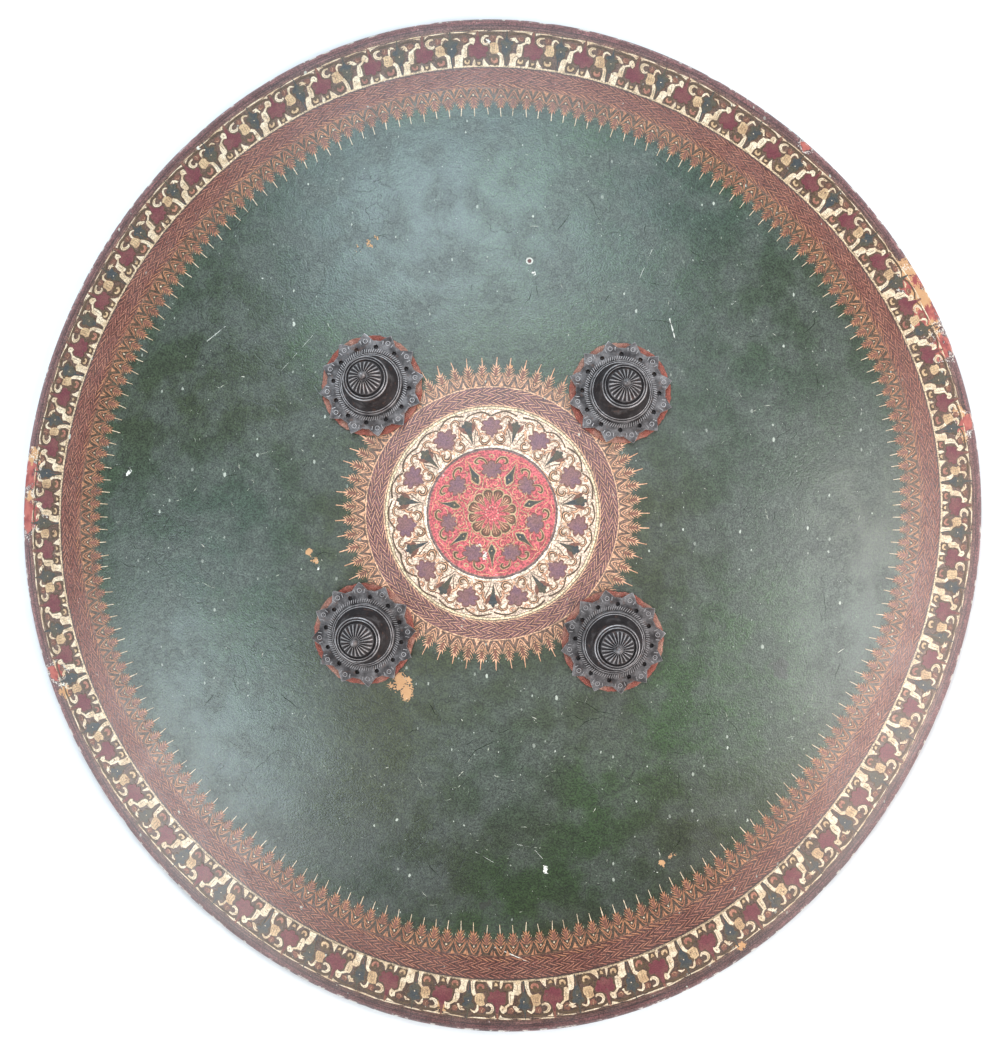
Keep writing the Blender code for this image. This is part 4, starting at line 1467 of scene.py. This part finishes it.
def hide_mesh(steps):
    """The whole hide: painted face, rounded rim and inside, with its worn places stored on it."""
    turns = full_turn(steps)
    edge = outline_radius(turns)
    cos, sin = np.cos(turns), np.sin(turns)
    face_shares = np.concatenate((
        np.linspace(0.006, 0.80, 78), np.linspace(0.808, 1 - RIM_ROUND / MEAN_RADIUS, 30),
    ))
    inside_shares = np.concatenate((
        np.linspace(INSIDE_SHARE, 0.2, 26), np.linspace(0.17, INNERMOST, 6),
    ))
    chip = np.clip(drift(edge * cos, edge * sin, 0.0040, 21) - 0.72, 0, 1)
    chip = chip * np.clip(drift(edge * cos, edge * sin, 0.05, 22) + 0.4, 0, 1) * 2.6 * MM
    rim = ((0.45, -0.18, 0.6), (0.12, -0.55, 0.9), (0.0, -1.0, 1.0), (0.5, -2.3, 0.8),
           (1.5, -3.6, 0.4), (2.5, -4.4, 0.1), (3.0, -4.6, 0.0), (6.4, -4.6, 0.0), (7.4, -4.1, 0.0))

    def plan(radius):
        return radius * cos - SHIFT[0], radius * sin - SHIFT[1]

    rows, inward = [], []
    for share in face_shares:
        rows.append(on_face(*plan(edge * share), 0.0))
        inward.append(border_depth(turns, edge * (1 - share)))
    for inset, drop, chipped in rim:
        x, y = plan(edge - inset * MM - chip * chipped)
        rows.append(np.stack((x, y, np.full_like(x, RIM_HEIGHT + drop * MM)), axis=-1))
        inward.append(np.zeros(steps))
    for share in inside_shares:
        rows.append(on_face(*plan(edge * share), -HIDE_THICKNESS))
        inward.append(np.zeros(steps))
    top = on_face(np.array(-SHIFT[0]), np.array(-SHIFT[1]), 0.0)
    bottom = on_face(np.array(-SHIFT[0]), np.array(-SHIFT[1]), -HIDE_THICKNESS)
    mesh = skin("shield_hide", rows, top, bottom)
    points = points_of(mesh)
    put_value(mesh, "from_edge", list(np.ravel(inward)) + [MEAN_RADIUS, 0.0])
    x, y = points[:, 0], points[:, 1]
    put_value(mesh, "olive", np.clip(0.40 + 0.55 * drift(x, y, 0.060, 51) - 2.4 * y, 0, 1))
    deeper = sum(
        share * np.exp(-((x / MM - spot_x) ** 2 + (y / MM - spot_y) ** 2) / (2 * spread**2))
        for spot_x, spot_y, spread, share in DEEP_GREEN
    )
    put_value(mesh, "vivid", np.clip(1.3 * drift(x, y, 0.042, 52) - 0.25 - 1.0 * x + deeper, 0, 0.85))
    put_value(mesh, "crazed", np.clip(2.5 * drift(x, y, 0.030, 53) - 0.5 - 3.0 * x, 0, 1))
    for name, spots in SPOTS.items():
        put_value(mesh, name, spot_field(spots, x, y))

    # two discs laid out flat: the face with the rim's outside, and the inside
    split = len(face_shares) + 6
    lengths = np.zeros(len(rows))
    for i in range(1, len(rows)):
        lengths[i] = lengths[i - 1] + np.linalg.norm(rows[i] - rows[i - 1], axis=1).mean()
    lengths += face_shares[0] * MEAN_RADIUS
    whole_face = lengths[split]
    whole_inside = lengths[-1] - lengths[split] + INNERMOST * MEAN_RADIUS
    corners = np.zeros(len(mesh.loops), int)
    mesh.loops.foreach_get("vertex_index", corners)
    starts, totals = np.zeros(len(mesh.polygons), int), np.zeros(len(mesh.polygons), int)
    mesh.polygons.foreach_get("loop_start", starts)
    mesh.polygons.foreach_get("loop_total", totals)
    row = np.minimum(np.arange(len(mesh.vertices)) // steps, len(rows) - 1)
    row_of_face = np.minimum.reduceat(row[corners], starts)
    row_of_face[-2 * steps:-steps] = 0
    row_of_face[-steps:] = len(rows)
    inside_face = row_of_face >= split
    inside_loop = np.repeat(inside_face, totals)
    turn = np.append(np.tile(turns, len(rows)), (0, 0))
    reach = np.append(np.repeat(lengths, steps), (0, lengths[-1] + INNERMOST * MEAN_RADIUS))
    face_u, face_v, face_size = FACE_DISC
    inside_u, inside_v, inside_size = INSIDE_DISC
    out_face = face_size * reach / whole_face
    out_inside = inside_size * (reach[-1] - reach) / whole_inside
    u = np.where(
        inside_loop, inside_u + (out_inside * np.cos(-turn))[corners],
        face_u + (out_face * np.cos(turn))[corners],
    )
    v = np.where(
        inside_loop, inside_v + (out_inside * np.sin(-turn))[corners],
        face_v + (out_face * np.sin(turn))[corners],
    )
    layer = mesh.uv_layers.new(name="OFBake")
    layer.data.foreach_set("uv", np.stack((u, v), axis=-1).ravel())
    mesh.materials.append(hide_face_material())
    mesh.materials.append(hide_inside_material())
    mesh.polygons.foreach_set("material_index", inside_face.astype(int))
    return mesh


class SHIELD_OT_hide(bpy.types.Operator):
    """Builds the dished hide with its painted face and plain inside"""

    bl_idname = "shield.make_hide"
    bl_label = "Hide"

    def execute(self, context):
        mesh = hide_mesh(context.scene.shield_hide.segments)
        finish_piece("shield_hide", mesh, None, ["shield_body"], smooth=40)
        return {"FINISHED"}


class SHIELD_OT_border(bpy.types.Operator):
    """Paints the border: scrolls and flowers, herringbone, and a fringe of palmettes"""

    bl_idname = "shield.paint_border"
    bl_label = "Border Ornament"

    def execute(self, context):
        settings = context.scene.shield_ornament
        painter = Painter("border", laid_on_border)
        painter.add(border_flower_unit(), count=settings.flowers // UNIT_FLOWERS,
                    pitch=UNIT_FLOWERS * FLOWER_PITCH, distance=-16.0, start=184.4,
                    stray=0.2, turn=0.2, seed=5)
        painter.add(line_dash_unit(), count=140, pitch=10.2, distance=-6.7,
                    stray=0.3, turn=2.0, change=0.3, seed=6)
        rows = "orange brick brick brick brick"
        herringbone = chevron_unit(rows, pitch=3.5, low=-36.2, high=-26.7, width=0.50, reach=2.5)
        painter.add(herringbone, count=settings.chevrons, pitch=3.5, distance=-31.4,
                    stray=0.22, turn=3.0, change=0.05, seed=7)
        fringe = finial_unit(base=-36.9, out=-1, arches=2, slim=1.0)
        painter.add(fringe, count=settings.finials, pitch=6.44, distance=-43.0,
                    stray=0.22, turn=3.0, change=0.06, seed=8)
        painter.finish()
        return {"FINISHED"}


class SHIELD_OT_marks(bpy.types.Operator):
    """Adds the fine scuffs and cracks of the field"""

    bl_idname = "shield.mark_field"
    bl_label = "Field Marks"

    def execute(self, context):
        painter = Painter("field", laid_as_drawn)
        painter.add(field_marks_unit(), 1, 1, 0)
        painter.finish()
        return {"FINISHED"}


class SHIELD_OT_medallion(bpy.types.Operator):
    """Paints the medallion: rosette, vine, pale ring, herringbone and palmettes"""

    bl_idname = "shield.paint_medallion"
    bl_label = "Medallion Ornament"

    def execute(self, context):
        settings = context.scene.shield_ornament
        painter = Painter("medallion", laid_on_medallion)
        painter.add(rosette_unit(), count=12, pitch=4.19, distance=8.0, start=12.0,
                    change=0.04, seed=21)
        painter.add(bead_unit(2.9, 0.34), count=13, pitch=1.4, distance=2.9, seed=22)
        painter.add(disc_vine_unit(17.95), count=7, pitch=17.95, distance=20.0, start=90.0,
                    stray=0.2, turn=3.0, change=0.05, seed=23)
        flowers = settings.medallion_flowers
        pitch = math.tau * 40.0 / flowers
        painter.add(medallion_flower_unit(pitch), count=flowers, pitch=pitch, distance=40.0,
                    start=90.0, stray=0.25, turn=3.0, change=0.05, seed=24)
        rows = "amber amber amber amber"
        herringbone = chevron_unit(rows, pitch=3.1, low=50.6, high=58.5, width=0.35, reach=2.3)
        painter.add(herringbone, count=110, pitch=3.1, distance=54.5,
                    stray=0.15, turn=3.0, change=0.05, seed=25)
        fringe = amber(finial_unit(base=59.4, out=1, arches=3, slim=0.88))
        painter.add(fringe, count=settings.medallion_finials, pitch=6.38, distance=66.0,
                    stray=0.2, turn=3.0, change=0.06, seed=26)
        painter.finish()
        return {"FINISHED"}


def petal_edge(turn):
    """Outline of a boss's plate: pointed petals with small saw teeth between them."""
    phase = np.abs((turn * PETALS / math.tau + 0.5) % 1 - 0.5)
    foot = PETAL_SPREAD / 2
    share = np.clip(phase / foot, 0, 1)
    petal = PETAL_ROOT + (PETAL_TIP - PETAL_ROOT) * (1 - share) ** 1.12
    between = (phase - foot) / (0.5 - foot)
    teeth = PETAL_ROOT - 0.45 * MM * np.abs((between * 2.0 + 0.5) % 1 - 0.5) * 2
    return np.where(phase < foot, petal, teeth)


def plate_mesh(corner):
    """Petalled plate with pierced holes, in the frame of its seat."""
    turns = full_turn(PLATE_STEPS)
    edge = petal_edge(turns)
    middle = 2 * GAP + WASHER_THICKNESS + PLATE_THICKNESS / 2
    number = list(CORNERS).index(corner)
    petal = np.round(turns * PETALS / math.tau).astype(int) % PETALS
    bent = np.random.default_rng(31 + number).uniform(-0.1, 0.75, PETALS)[petal] * MM

    def height(radius):
        lift = np.clip((radius - PETAL_ROOT) / (PETAL_TIP - PETAL_ROOT), 0, 1)
        return middle - sag(radius) + 0.35 * MM * (radius / PETAL_TIP) ** 3 + bent * lift**1.4

    near = np.array((
        PLATE_BORE, 0.0135, 0.0145, PLATE_GROOVE, 0.0152, 0.0170, 0.01715, 0.01735, 0.01755,
        0.01775, 0.01795, 0.01815, 0.01835, 0.01855, 0.01875, 0.01895, 0.0197, 0.0204,
    ))
    rows, proud = [], []
    hole_phase = ((turns * PETALS / math.tau) % 1 - 0.5) * math.tau / PETALS

    def add(radius, level, rubbed):
        rows.append(ring(turns, radius, level))
        proud.append(rubbed * np.ones(PLATE_STEPS))

    half = PLATE_THICKNESS / 2
    add(near[0], height(near[0]) + half, 0.4)
    for radius in near[1:]:
        gap = np.hypot(radius - HOLE_PLACE, radius * hole_phase)
        pit = np.clip((0.00098 - gap) / 0.00022, 0, 1)
        groove = 0.18 * MM * (abs(radius - PLATE_GROOVE) < 0.0002)
        add(radius, height(radius) + half - pit * 1.1 * MM - groove, 0.38 * (1 - pit) - 3 * pit)
    for share, drop, rubbed in ((0.3, 0, 0.44), (0.55, 0, 0.44), (0.75, 0, 0.44), (0.9, 0, 0.44),
                                (0.975, 0.08 * MM, 0.72)):
        radius = near[-1] + (edge - near[-1]) * share
        add(radius, height(radius) + half - drop, rubbed)
    add(edge, height(edge) + half * 0.45, 0.9)
    add(edge, height(edge) - half * 0.6, 0.3)
    add(edge * 0.985, height(edge) - half, 0.0)
    add(0.0195, height(0.0195) - half, 0.0)
    add(near[0], height(near[0]) - half, 0.0)
    mesh = skin("boss_plate", rows, loop=True)
    put_value(mesh, "proud", np.ravel(proud))
    return mesh, height


def mark_units():
    """Stamped eye and strokes on a petal, and one cut stroke of the hatched ring."""
    eye, hatch = Motif(), Motif()
    eye.circle(0, MARK_PLACE, 0.98, 0.42, 0.26, 14)
    eye.dot(0, MARK_PLACE, 0.24, 0.16, 6)
    for way in (1, -1):
        eye.stroke(((way * 2.2, 19.7), (way * 2.35, 20.6), (way * 2.5, 21.5)), 0.42, 0.24)
    hatch.stroke(((-0.42, 15.25), (0.0, 16.2), (0.42, 17.1)), 0.50, 0.24, 0.7, 0.7)
    return eye, hatch


def marks_mesh(motif, count, height, material, seed):
    """Stamped marks bent round the axis of a boss, standing on its plate."""
    pitch = math.tau * MARK_PLACE / count
    mesh = repeated(motif, material, count, pitch, stray=0.07, turn=0.2, seed=seed)
    points = points_of(mesh)
    turn = -points[:, 0] / (MARK_PLACE * MM)
    radius = points[:, 1]
    level = np.array([np.median(height(np.full(PLATE_STEPS, r))) for r in np.round(radius, 5)])
    set_points(mesh, ring(turn, radius, level + PLATE_THICKNESS / 2 + points[:, 2]))
    put_value(mesh, "proud", np.where(points[:, 2] > 0, 1.35, 0.1))
    return mesh


RING_BEADS = (  # radius and level in mm, how rubbed
    (7.9, -0.60, 0.1), (8.15, -0.80, 0.0), (8.45, -0.80, 0.0), (8.7, -0.40, 0.3), (8.85, -0.12, 0.6),
    (9.05, 0.0, 0.8), (9.25, -0.12, 0.5), (9.45, -0.42, 0.1), (9.65, -0.55, 0.0), (9.85, -0.40, 0.3),
    (10.1, -0.22, 0.6), (10.35, -0.30, 0.8), (10.6, -0.75, 0.5), (10.6, -1.2, 0.2),
    (10.3, -1.65, 0.0), (9.9, -1.8, 0.0),
)
FOOT_MOULDINGS = (
    (13.25, 2.32, 0.3), (13.45, 2.42, 0.75), (13.7, 2.32, 0.6), (13.85, 2.0, 0.1), (13.95, 1.80, 0.0),
    (14.1, 1.90, 0.3), (14.4, 1.9, 0.8), (14.65, 1.6, 0.7), (14.7, 1.2, 0.3), (14.6, 0.7, 0.0),
    (14.3, 0.35, 0.0), (14.3, 0.0, 0.0),
)


def dome_mesh(ribs):
    """Turned drum, ringed cap with ribs, and knob, in the frame of its seat."""
    foot = 3 * GAP + WASHER_THICKNESS + PLATE_THICKNESS - sag(PLATE_BORE)
    cap_top = BOSS_HEIGHT - KNOB_HEIGHT
    beads = cap_top - CAP_HEIGHT
    profile = []

    def add(radius, level, rubbed, rib=0.0):
        profile.append((radius * MM, level, rubbed, rib))

    for turn in np.linspace(12, 150, 10):
        a = math.radians(turn)
        add(1.75 * math.sin(a), BOSS_HEIGHT - 2.0 * MM * (1 - math.cos(a)) * 1.05, 0.50)
    add(1.3, cap_top - 0.1 * MM, 0.2)
    for share in np.linspace(0, 1, 15):
        radius = 1.7 + 6.0 * share
        level = cap_top - 0.1 * MM - (CAP_HEIGHT - 0.9 * MM) * share**1.7
        rib = min(1, share * 5 + 0.2) * min(1, (1 - share) * 9)
        add(radius, level, 0.42, rib)
    for radius, level, rubbed in RING_BEADS:
        add(radius, beads + level * MM, rubbed)
    top, low = beads - 1.8 * MM, foot + 2.3 * MM
    # the drum is rubbed lighter round its middle: partly wear, partly a painted reflection
    for share in np.linspace(0.05, 1, 14):
        radius = 9.95 + 3.15 * share**2.4
        add(radius, top + (low - top) * share, 0.10 + 0.16 * math.sin(math.pi * share))
    for radius, level, rubbed in FOOT_MOULDINGS:
        add(radius, foot + level * MM, rubbed)
    steps = ribs * 8
    turns = full_turn(steps)
    ridge = np.abs((turns * ribs / math.tau) % 1 - 0.5) * 2  # 1 on a rib, 0 between ribs
    rows, proud = [], []
    for radius, level, rubbed, rib in profile:
        lift = rib * (0.70 * MM * ridge**1.1 - 0.45 * MM)
        rows.append(ring(turns, radius, level + lift))
        proud.append(rubbed + rib * (ridge**1.5 * 1.5 - 0.75))
    mesh = skin("boss_dome", rows, (0, 0, BOSS_HEIGHT), (0, 0, foot))
    put_value(mesh, "proud", list(np.ravel(proud)) + [1.0, 0.0])
    return mesh


def washer_mesh(corner):
    """Leather disc with a frayed edge, following the hide."""
    steps = 240
    turns = full_turn(steps)
    x, y = seat_place(corner)
    fray = 0.35 * MM * drift(np.cos(turns) * 0.024, np.sin(turns) * 0.024 + x, 0.0030, 41)
    fray += 0.22 * MM * drift(np.cos(turns) * 0.024, np.sin(turns) * 0.024 + x, 0.0009, 42)
    radius = WASHER_RADIUS - 0.35 * MM + fray
    top = GAP + WASHER_THICKNESS
    profile = (
        (0.3, top), (0.75, top), (0.84, top), (0.90, top), (0.95, top), (0.985, top - 0.12 * MM),
        (1.0, top - 0.45 * MM), (1.0, GAP + 0.25 * MM), (0.985, GAP), (0.6, GAP),
    )
    rows = []
    for share, lift in profile:
        out, up = radius * share * np.cos(turns), radius * share * np.sin(turns)
        rough = 0.08 * MM * drift(out, up, 0.0016, 43) if share > 0.8 else 0
        rows.append(on_face(x + out, y + up, lift + rough))
    middle = np.array(x), np.array(y)
    return skin("washer", rows, on_face(*middle, top), on_face(*middle, GAP))


class SHIELD_OT_bosses(bpy.types.Operator):
    """Builds the four bosses: red leather washer, petalled plate and turned dome"""

    bl_idname = "shield.make_bosses"
    bl_label = "Bosses"

    def execute(self, context):
        settings = context.scene.shield_boss
        iron = iron_material("worn_boss_iron")
        red = tuple(settings.washer)
        worn = (red[0] * 1.4, red[1] * 2.6, red[2] * 2.8)
        leather = leather_material("red_washer_leather", red, worn, 1400.0, 0.8)
        for number, (corner, (_side, _height, petal_turn)) in enumerate(CORNERS.items()):
            seat = seat_matrix(corner) @ Matrix.Rotation(math.radians(petal_turn), 4, "Z")
            washer = joined("washer", [washer_mesh(corner)])
            finish_piece("boss_washer_" + corner + "_leather", washer, leather,
                         ["boss_washer_" + corner], smooth=50)
            plate, height = plate_mesh(corner)
            eye, hatch = mark_units()
            eyes = marks_mesh(eye, PETALS, height, iron, 50 + number)
            hatches = marks_mesh(hatch, settings.hatches, height, iron, 60 + number)
            whole = moved(joined("plate", [plate, eyes, hatches]), seat)
            finish_piece("boss_plate_" + corner + "_iron", whole, iron,
                         ["boss_plate_" + corner], smooth=40)
            dome = moved(joined("dome", [dome_mesh(settings.ribs)]), seat)
            finish_piece("boss_dome_" + corner + "_iron", dome, iron,
                         ["boss_dome_" + corner], smooth=50)
        return {"FINISHED"}


STAPLE_FACE = -(HIDE_THICKNESS + sag(STAPLE_PLATE_RADIUS) + 2 * GAP)
STAPLE_BAR = STAPLE_FACE - STAPLE_PLATE_THICKNESS - STAPLE_DROP


def tube_mesh(path, radius, sides=16):
    """Round bar along a path in the XZ plane, with rounded ends."""
    path = np.asarray(path, float)
    ahead = np.gradient(path, axis=0)
    ahead /= np.linalg.norm(ahead, axis=1, keepdims=True)
    turns = full_turn(sides)
    rows = []
    for (x, z), (dx, dz) in zip(path, ahead):
        out, side = radius * np.cos(turns), radius * np.sin(turns)
        rows.append(np.stack((x - dz * out, side, z + dx * out), axis=-1))
    ends = [(path[0][0], 0, path[0][1]), (path[-1][0], 0, path[-1][1])]
    return skin("bar", rows, *ends)


def staple_mesh():
    """Riveted iron plate with the bent bar that holds a grip, in the frame of its seat."""
    turns = full_turn(72)
    face, thick = STAPLE_FACE, STAPLE_PLATE_THICKNESS
    wavy = 1 + 0.008 * np.sin(5 * turns + 1) + 0.006 * np.sin(9 * turns)
    radius = STAPLE_PLATE_RADIUS - 0.2 * MM
    profile = (
        (0.5, 0.0), (0.97, 0.0), (1.0, 0.25), (1.0, 0.6), (0.965, 0.95), (0.93, 1.0),
        (0.6, 1.12), (0.3, 1.18),
    )
    rows = [ring(turns, radius * reach * wavy, face - thick * drop) for reach, drop in profile]
    plate = skin("plate", rows, (0, 0, face), (0, 0, face - thick * 1.2))
    foot = face - thick / 2
    wide, bend = STAPLE_HALF_WIDTH, STAPLE_BEND
    right = [(wide, foot), (wide, foot - 2.2 * MM), (wide, STAPLE_BAR + bend + 1.0 * MM)]
    for t in np.radians(np.linspace(0, 90, 7)):
        right.append((wide - bend * (1 - math.cos(t)), STAPLE_BAR + bend * (1 - math.sin(t))))
    level = [(x, STAPLE_BAR) for x in (0.004, 0.0, -0.004)]
    bar = tube_mesh(right + level + [(-x, z) for x, z in reversed(right)], STAPLE_WIRE)
    rivets = []
    for y in (RIVET_PLACE, -RIVET_PLACE):
        heads = [
            ring(full_turn(20), RIVET_RADIUS * reach, face - thick - drop * MM, (0.0, y))
            for reach, drop in ((1.0, 0.0), (0.96, 0.5), (0.75, 0.9), (0.4, 1.15))
        ]
        rivets.append(skin("rivet", heads, (0, y, face - thick * 0.6), (0, y, face - thick - 1.2 * MM)))
    mesh = joined("staple", [plate, bar, *rivets])
    points = points_of(mesh)
    put_value(mesh, "proud", np.clip((foot - points[:, 2]) / 0.006, 0.1, 0.8))
    return mesh


def strap_frame(side):
    """Middle, length and axes of a grip between the bars of its two staples."""
    seats = [seat_matrix("lower_" + side), seat_matrix("upper_" + side)]
    ends = [seat @ Vector((0, 0, STAPLE_BAR)) for seat in seats]
    bars = [seat.to_3x3() @ Vector((1, 0, 0)) for seat in seats]
    along = ends[1] - ends[0]
    across = (bars[0] + bars[1]).normalized()
    across = (across - across.project(along)).normalized()
    run = along.normalized()
    turn = Matrix((run, across.cross(run), across)).transposed().to_4x4()
    return Matrix.Translation((ends[0] + ends[1]) / 2) @ turn, along.length


def strap_line(run, span):
    """Height of the bowed grip over the line between its bars, and its slope."""
    return -STRAP_BOW * (1 - (2 * run / span) ** 2), 8 * STRAP_BOW * run / span**2


def strap_mesh(span):
    """Padded leather band with an eye at each end, in the frame of the grip."""
    half, thick = STRAP_WIDTH / 2, STRAP_THICKNESS / 2
    turns = full_turn(40)
    across = half * np.sign(np.cos(turns)) * np.abs(np.cos(turns)) ** 0.28
    up = thick * np.sign(np.sin(turns)) * np.abs(np.sin(turns)) ** 0.75
    rows = []
    reach = span / 2 - STRAP_LOOP_HOLE - 0.6 * STRAP_LOOP_WALL
    for run in np.linspace(-reach, reach, 61):
        level, slope = strap_line(run, span)
        size = math.hypot(1, slope)
        rows.append(np.stack((run - slope * up / size, level + up / size, across), axis=-1))
    band = skin("band", rows, rows[0].mean(0), rows[-1].mean(0))
    inner, outer = STRAP_LOOP_HOLE, STRAP_LOOP_HOLE + STRAP_LOOP_WALL
    section = (
        (inner, -0.9), (inner + 0.0004, -0.985), (outer - 0.0006, -1.0), (outer - 0.0001, -0.95),
        (outer, 0.0), (outer - 0.0001, 0.95), (outer - 0.0006, 1.0), (inner + 0.0004, 0.985),
        (inner, 0.9),
    )
    eyes = []
    around = full_turn(48)
    for end in (-1, 1):
        rings = [ring(around, radius, half * share, (end * span / 2, 0.0)) for radius, share in section]
        eyes.append(skin("eye", rings, loop=True))
    return joined("strap", [band, *eyes])


def stitch_mesh(span, count, material):
    """Rows of stitches along both edges of both sides of a grip, in the frame of the grip."""
    stitch = Motif()
    length = (span - 26 * MM) / MM / count
    for way in (1, -1):
        bowed = ((-0.33, 6.6), (-0.1, 6.62), (0.1, 6.62), (0.33, 6.6))
        stitch.stroke([(x * length, way * y) for x, y in bowed], 0.62, 0.34, 0.6, 0.6)
    meshes = []
    for face in (1, -1):
        mesh = repeated(stitch, material, count, length, stray=0.06, turn=0.5, seed=70 + face)
        points = points_of(mesh)
        run = points[:, 0] - length * MM * (count - 1) / 2
        level, slope = strap_line(run, span)
        size = np.hypot(1, slope)
        reach = np.minimum(np.abs(points[:, 1]) / (STRAP_WIDTH / 2), 1)
        side = STRAP_THICKNESS / 2 * (1 - reach ** (2 / 0.28)) ** (0.75 / 2)
        up = face * (side + points[:, 2])
        along = run - slope * up / size
        set_points(mesh, np.stack((along, level + up / size, face * points[:, 1]), axis=-1))
        meshes.append(mesh)
    return joined("stitches", meshes)


class SHIELD_OT_grips(bpy.types.Operator):
    """Builds the inside: an iron staple behind each boss and a stitched grip between each pair"""

    bl_idname = "shield.make_grips"
    bl_label = "Staples and Grips"

    def execute(self, context):
        settings = context.scene.shield_grip
        iron = iron_material("worn_staple_iron")
        leather = tuple(settings.leather)
        worn = tuple(c * 1.9 + 0.01 for c in leather)
        hide = leather_material("brown_grip_leather", leather, worn, 700.0, 0.7)
        thread = tuple(settings.thread)
        cord = leather_material("grip_thread", thread, tuple(c * 0.6 for c in thread), 2600.0)
        for corner in CORNERS:
            mesh = moved(staple_mesh(), seat_matrix(corner))
            finish_piece("staple_" + corner, mesh, iron,
                         ["grip_staple_" + corner], smooth=40)
        for side in ("left", "right"):
            place, span = strap_frame(side)
            strap = moved(strap_mesh(span), place)
            finish_piece("grip_" + side, strap, hide, ["grip_strap_" + side], smooth=45)
            stitches = moved(stitch_mesh(span, settings.stitches, cord), place)
            finish_piece("grip_stitches_" + side, stitches, cord)
        return {"FINISHED"}


# Stage


CAMERA_PLACE = (0.0276, 0.0022, 1.07)
CAMERA_LENS = 74.1
CAMERA_SHIFT = (-0.0558, -0.0014)
LAMPS = (  # azimuth, angle off vertical, width, height, share of power, colour
    (99, 47, 1.18, 0.95, 1.38, (0.71, 0.88, 1.0)),
    (214, 56, 1.06, 0.90, 1.14, (0.75, 0.90, 1.0)),
    (348, 55, 1.30, 1.00, 1.40, (0.95, 0.98, 1.0)),
    (226, 78, 1.10, 0.40, 0.40, (1.0, 0.91, 0.86)),
    (326, 78, 1.20, 0.40, 0.48, (1.0, 0.91, 0.86)),
    (92, 22, 1.20, 1.10, 0.46, (0.93, 0.98, 1.0)),
    (268, 19, 0.95, 0.90, 0.13, (1.0, 0.97, 0.95)),
)
LAMP_DISTANCE = 1.7
FLOOR_HALF = 6.0


class SHIELD_OT_stage(bpy.types.Operator):
    """Adds the floor, the soft lamps and a camera that looks down on the shield"""

    bl_idname = "shield.set_stage"
    bl_label = "Floor, Light and Camera"

    def execute(self, context):
        settings = context.scene.shield_stage
        scene = context.scene
        scene.view_settings.view_transform = "Standard"
        floor_mesh = bpy.data.meshes.new("floor")
        corners = [(x * FLOOR_HALF, y * FLOOR_HALF, CAD_BOX[0][2])
                   for x, y in ((-1, -1), (1, -1), (1, 1), (-1, 1))]
        floor_mesh.from_pydata(corners, [], [(0, 1, 2, 3)])
        material, w, shader, place = new_material("floor_card")
        shade = w.fade(w.noise(place, 3.0, 2.0), 0.3, 0.7, 0.97, 1.0)
        w.feed(shader.inputs, {"Base Color": w.shaded(opaque(settings.floor), shade), "Roughness": 0.9})
        floor_mesh.materials.append(material)
        floor = bpy.data.objects.new("floor", floor_mesh)
        scene.collection.objects.link(floor)
        world = bpy.data.worlds.new("studio")
        world.use_nodes = True
        scene.world = world
        back = world.node_tree.nodes["Background"]
        back.inputs["Color"].default_value = (1.0, 0.97, 0.93, 1)
        back.inputs["Strength"].default_value = settings.fill
        for number, (azimuth, off, width, height, share, colour) in enumerate(LAMPS):
            light = bpy.data.lights.new(f"soft_lamp_{number + 1}", "AREA")
            light.shape = "RECTANGLE"
            light.size = width
            light.size_y = height
            light.energy = settings.power * share
            light.color = colour
            lamp = bpy.data.objects.new(light.name, light)
            a, b = math.radians(azimuth), math.radians(off)
            direction = Vector((math.sin(b) * math.cos(a), math.sin(b) * math.sin(a), math.cos(b)))
            lamp.location = direction * LAMP_DISTANCE
            lamp.rotation_euler = direction.to_track_quat("Z", "Y").to_euler()
            lamp.visible_camera = False
            scene.collection.objects.link(lamp)
        camera_data = bpy.data.cameras.new("camera")
        camera_data.lens = CAMERA_LENS
        camera_data.sensor_fit = "AUTO"
        camera_data.sensor_width = 36.0
        camera = bpy.data.objects.new("camera", camera_data)
        camera.location = CAMERA_PLACE
        camera_data.shift_x, camera_data.shift_y = CAMERA_SHIFT
        scene.collection.objects.link(camera)
        scene.camera = camera
        return {"FINISHED"}


# Panel and registration


SETTINGS = {
    "shield_hide": ShieldHideSettings,
    "shield_ornament": ShieldOrnamentSettings,
    "shield_boss": ShieldBossSettings,
    "shield_grip": ShieldGripSettings,
    "shield_stage": ShieldStageSettings,
}
OPERATORS = (
    (SHIELD_OT_hide, "shield_hide"),
    (SHIELD_OT_marks, "shield_ornament"),
    (SHIELD_OT_border, "shield_ornament"),
    (SHIELD_OT_medallion, "shield_ornament"),
    (SHIELD_OT_bosses, "shield_boss"),
    (SHIELD_OT_grips, "shield_grip"),
    (SHIELD_OT_stage, "shield_stage"),
)


class SHIELD_PT_panel(bpy.types.Panel):
    """Lists the steps and their settings"""

    bl_idname = "SHIELD_PT_panel"
    bl_label = "Hide Shield"
    bl_space_type = "VIEW_3D"
    bl_region_type = "UI"
    bl_category = "Shield"

    def draw(self, context):
        shown = set()
        for operator, settings_name in OPERATORS:
            box = self.layout.box()
            box.operator(operator.bl_idname)
            if settings_name in shown:
                continue
            shown.add(settings_name)
            settings = getattr(context.scene, settings_name)
            for name in SETTINGS[settings_name].__annotations__:
                box.prop(settings, name)


CLASSES = (*SETTINGS.values(), *(operator for operator, _name in OPERATORS), SHIELD_PT_panel)


def register():
    for item in CLASSES:
        bpy.utils.register_class(item)
    for name, group in SETTINGS.items():
        setattr(bpy.types.Scene, name, bpy.props.PointerProperty(type=group))


def unregister():
    for name in SETTINGS:
        delattr(bpy.types.Scene, name)
    for item in reversed(CLASSES):
        bpy.utils.unregister_class(item)


def main():
    register()
    for operator, _settings in OPERATORS:
        group, name = operator.bl_idname.split(".")
        getattr(getattr(bpy.ops, group), name)()


if __name__ == "__main__":
    main()
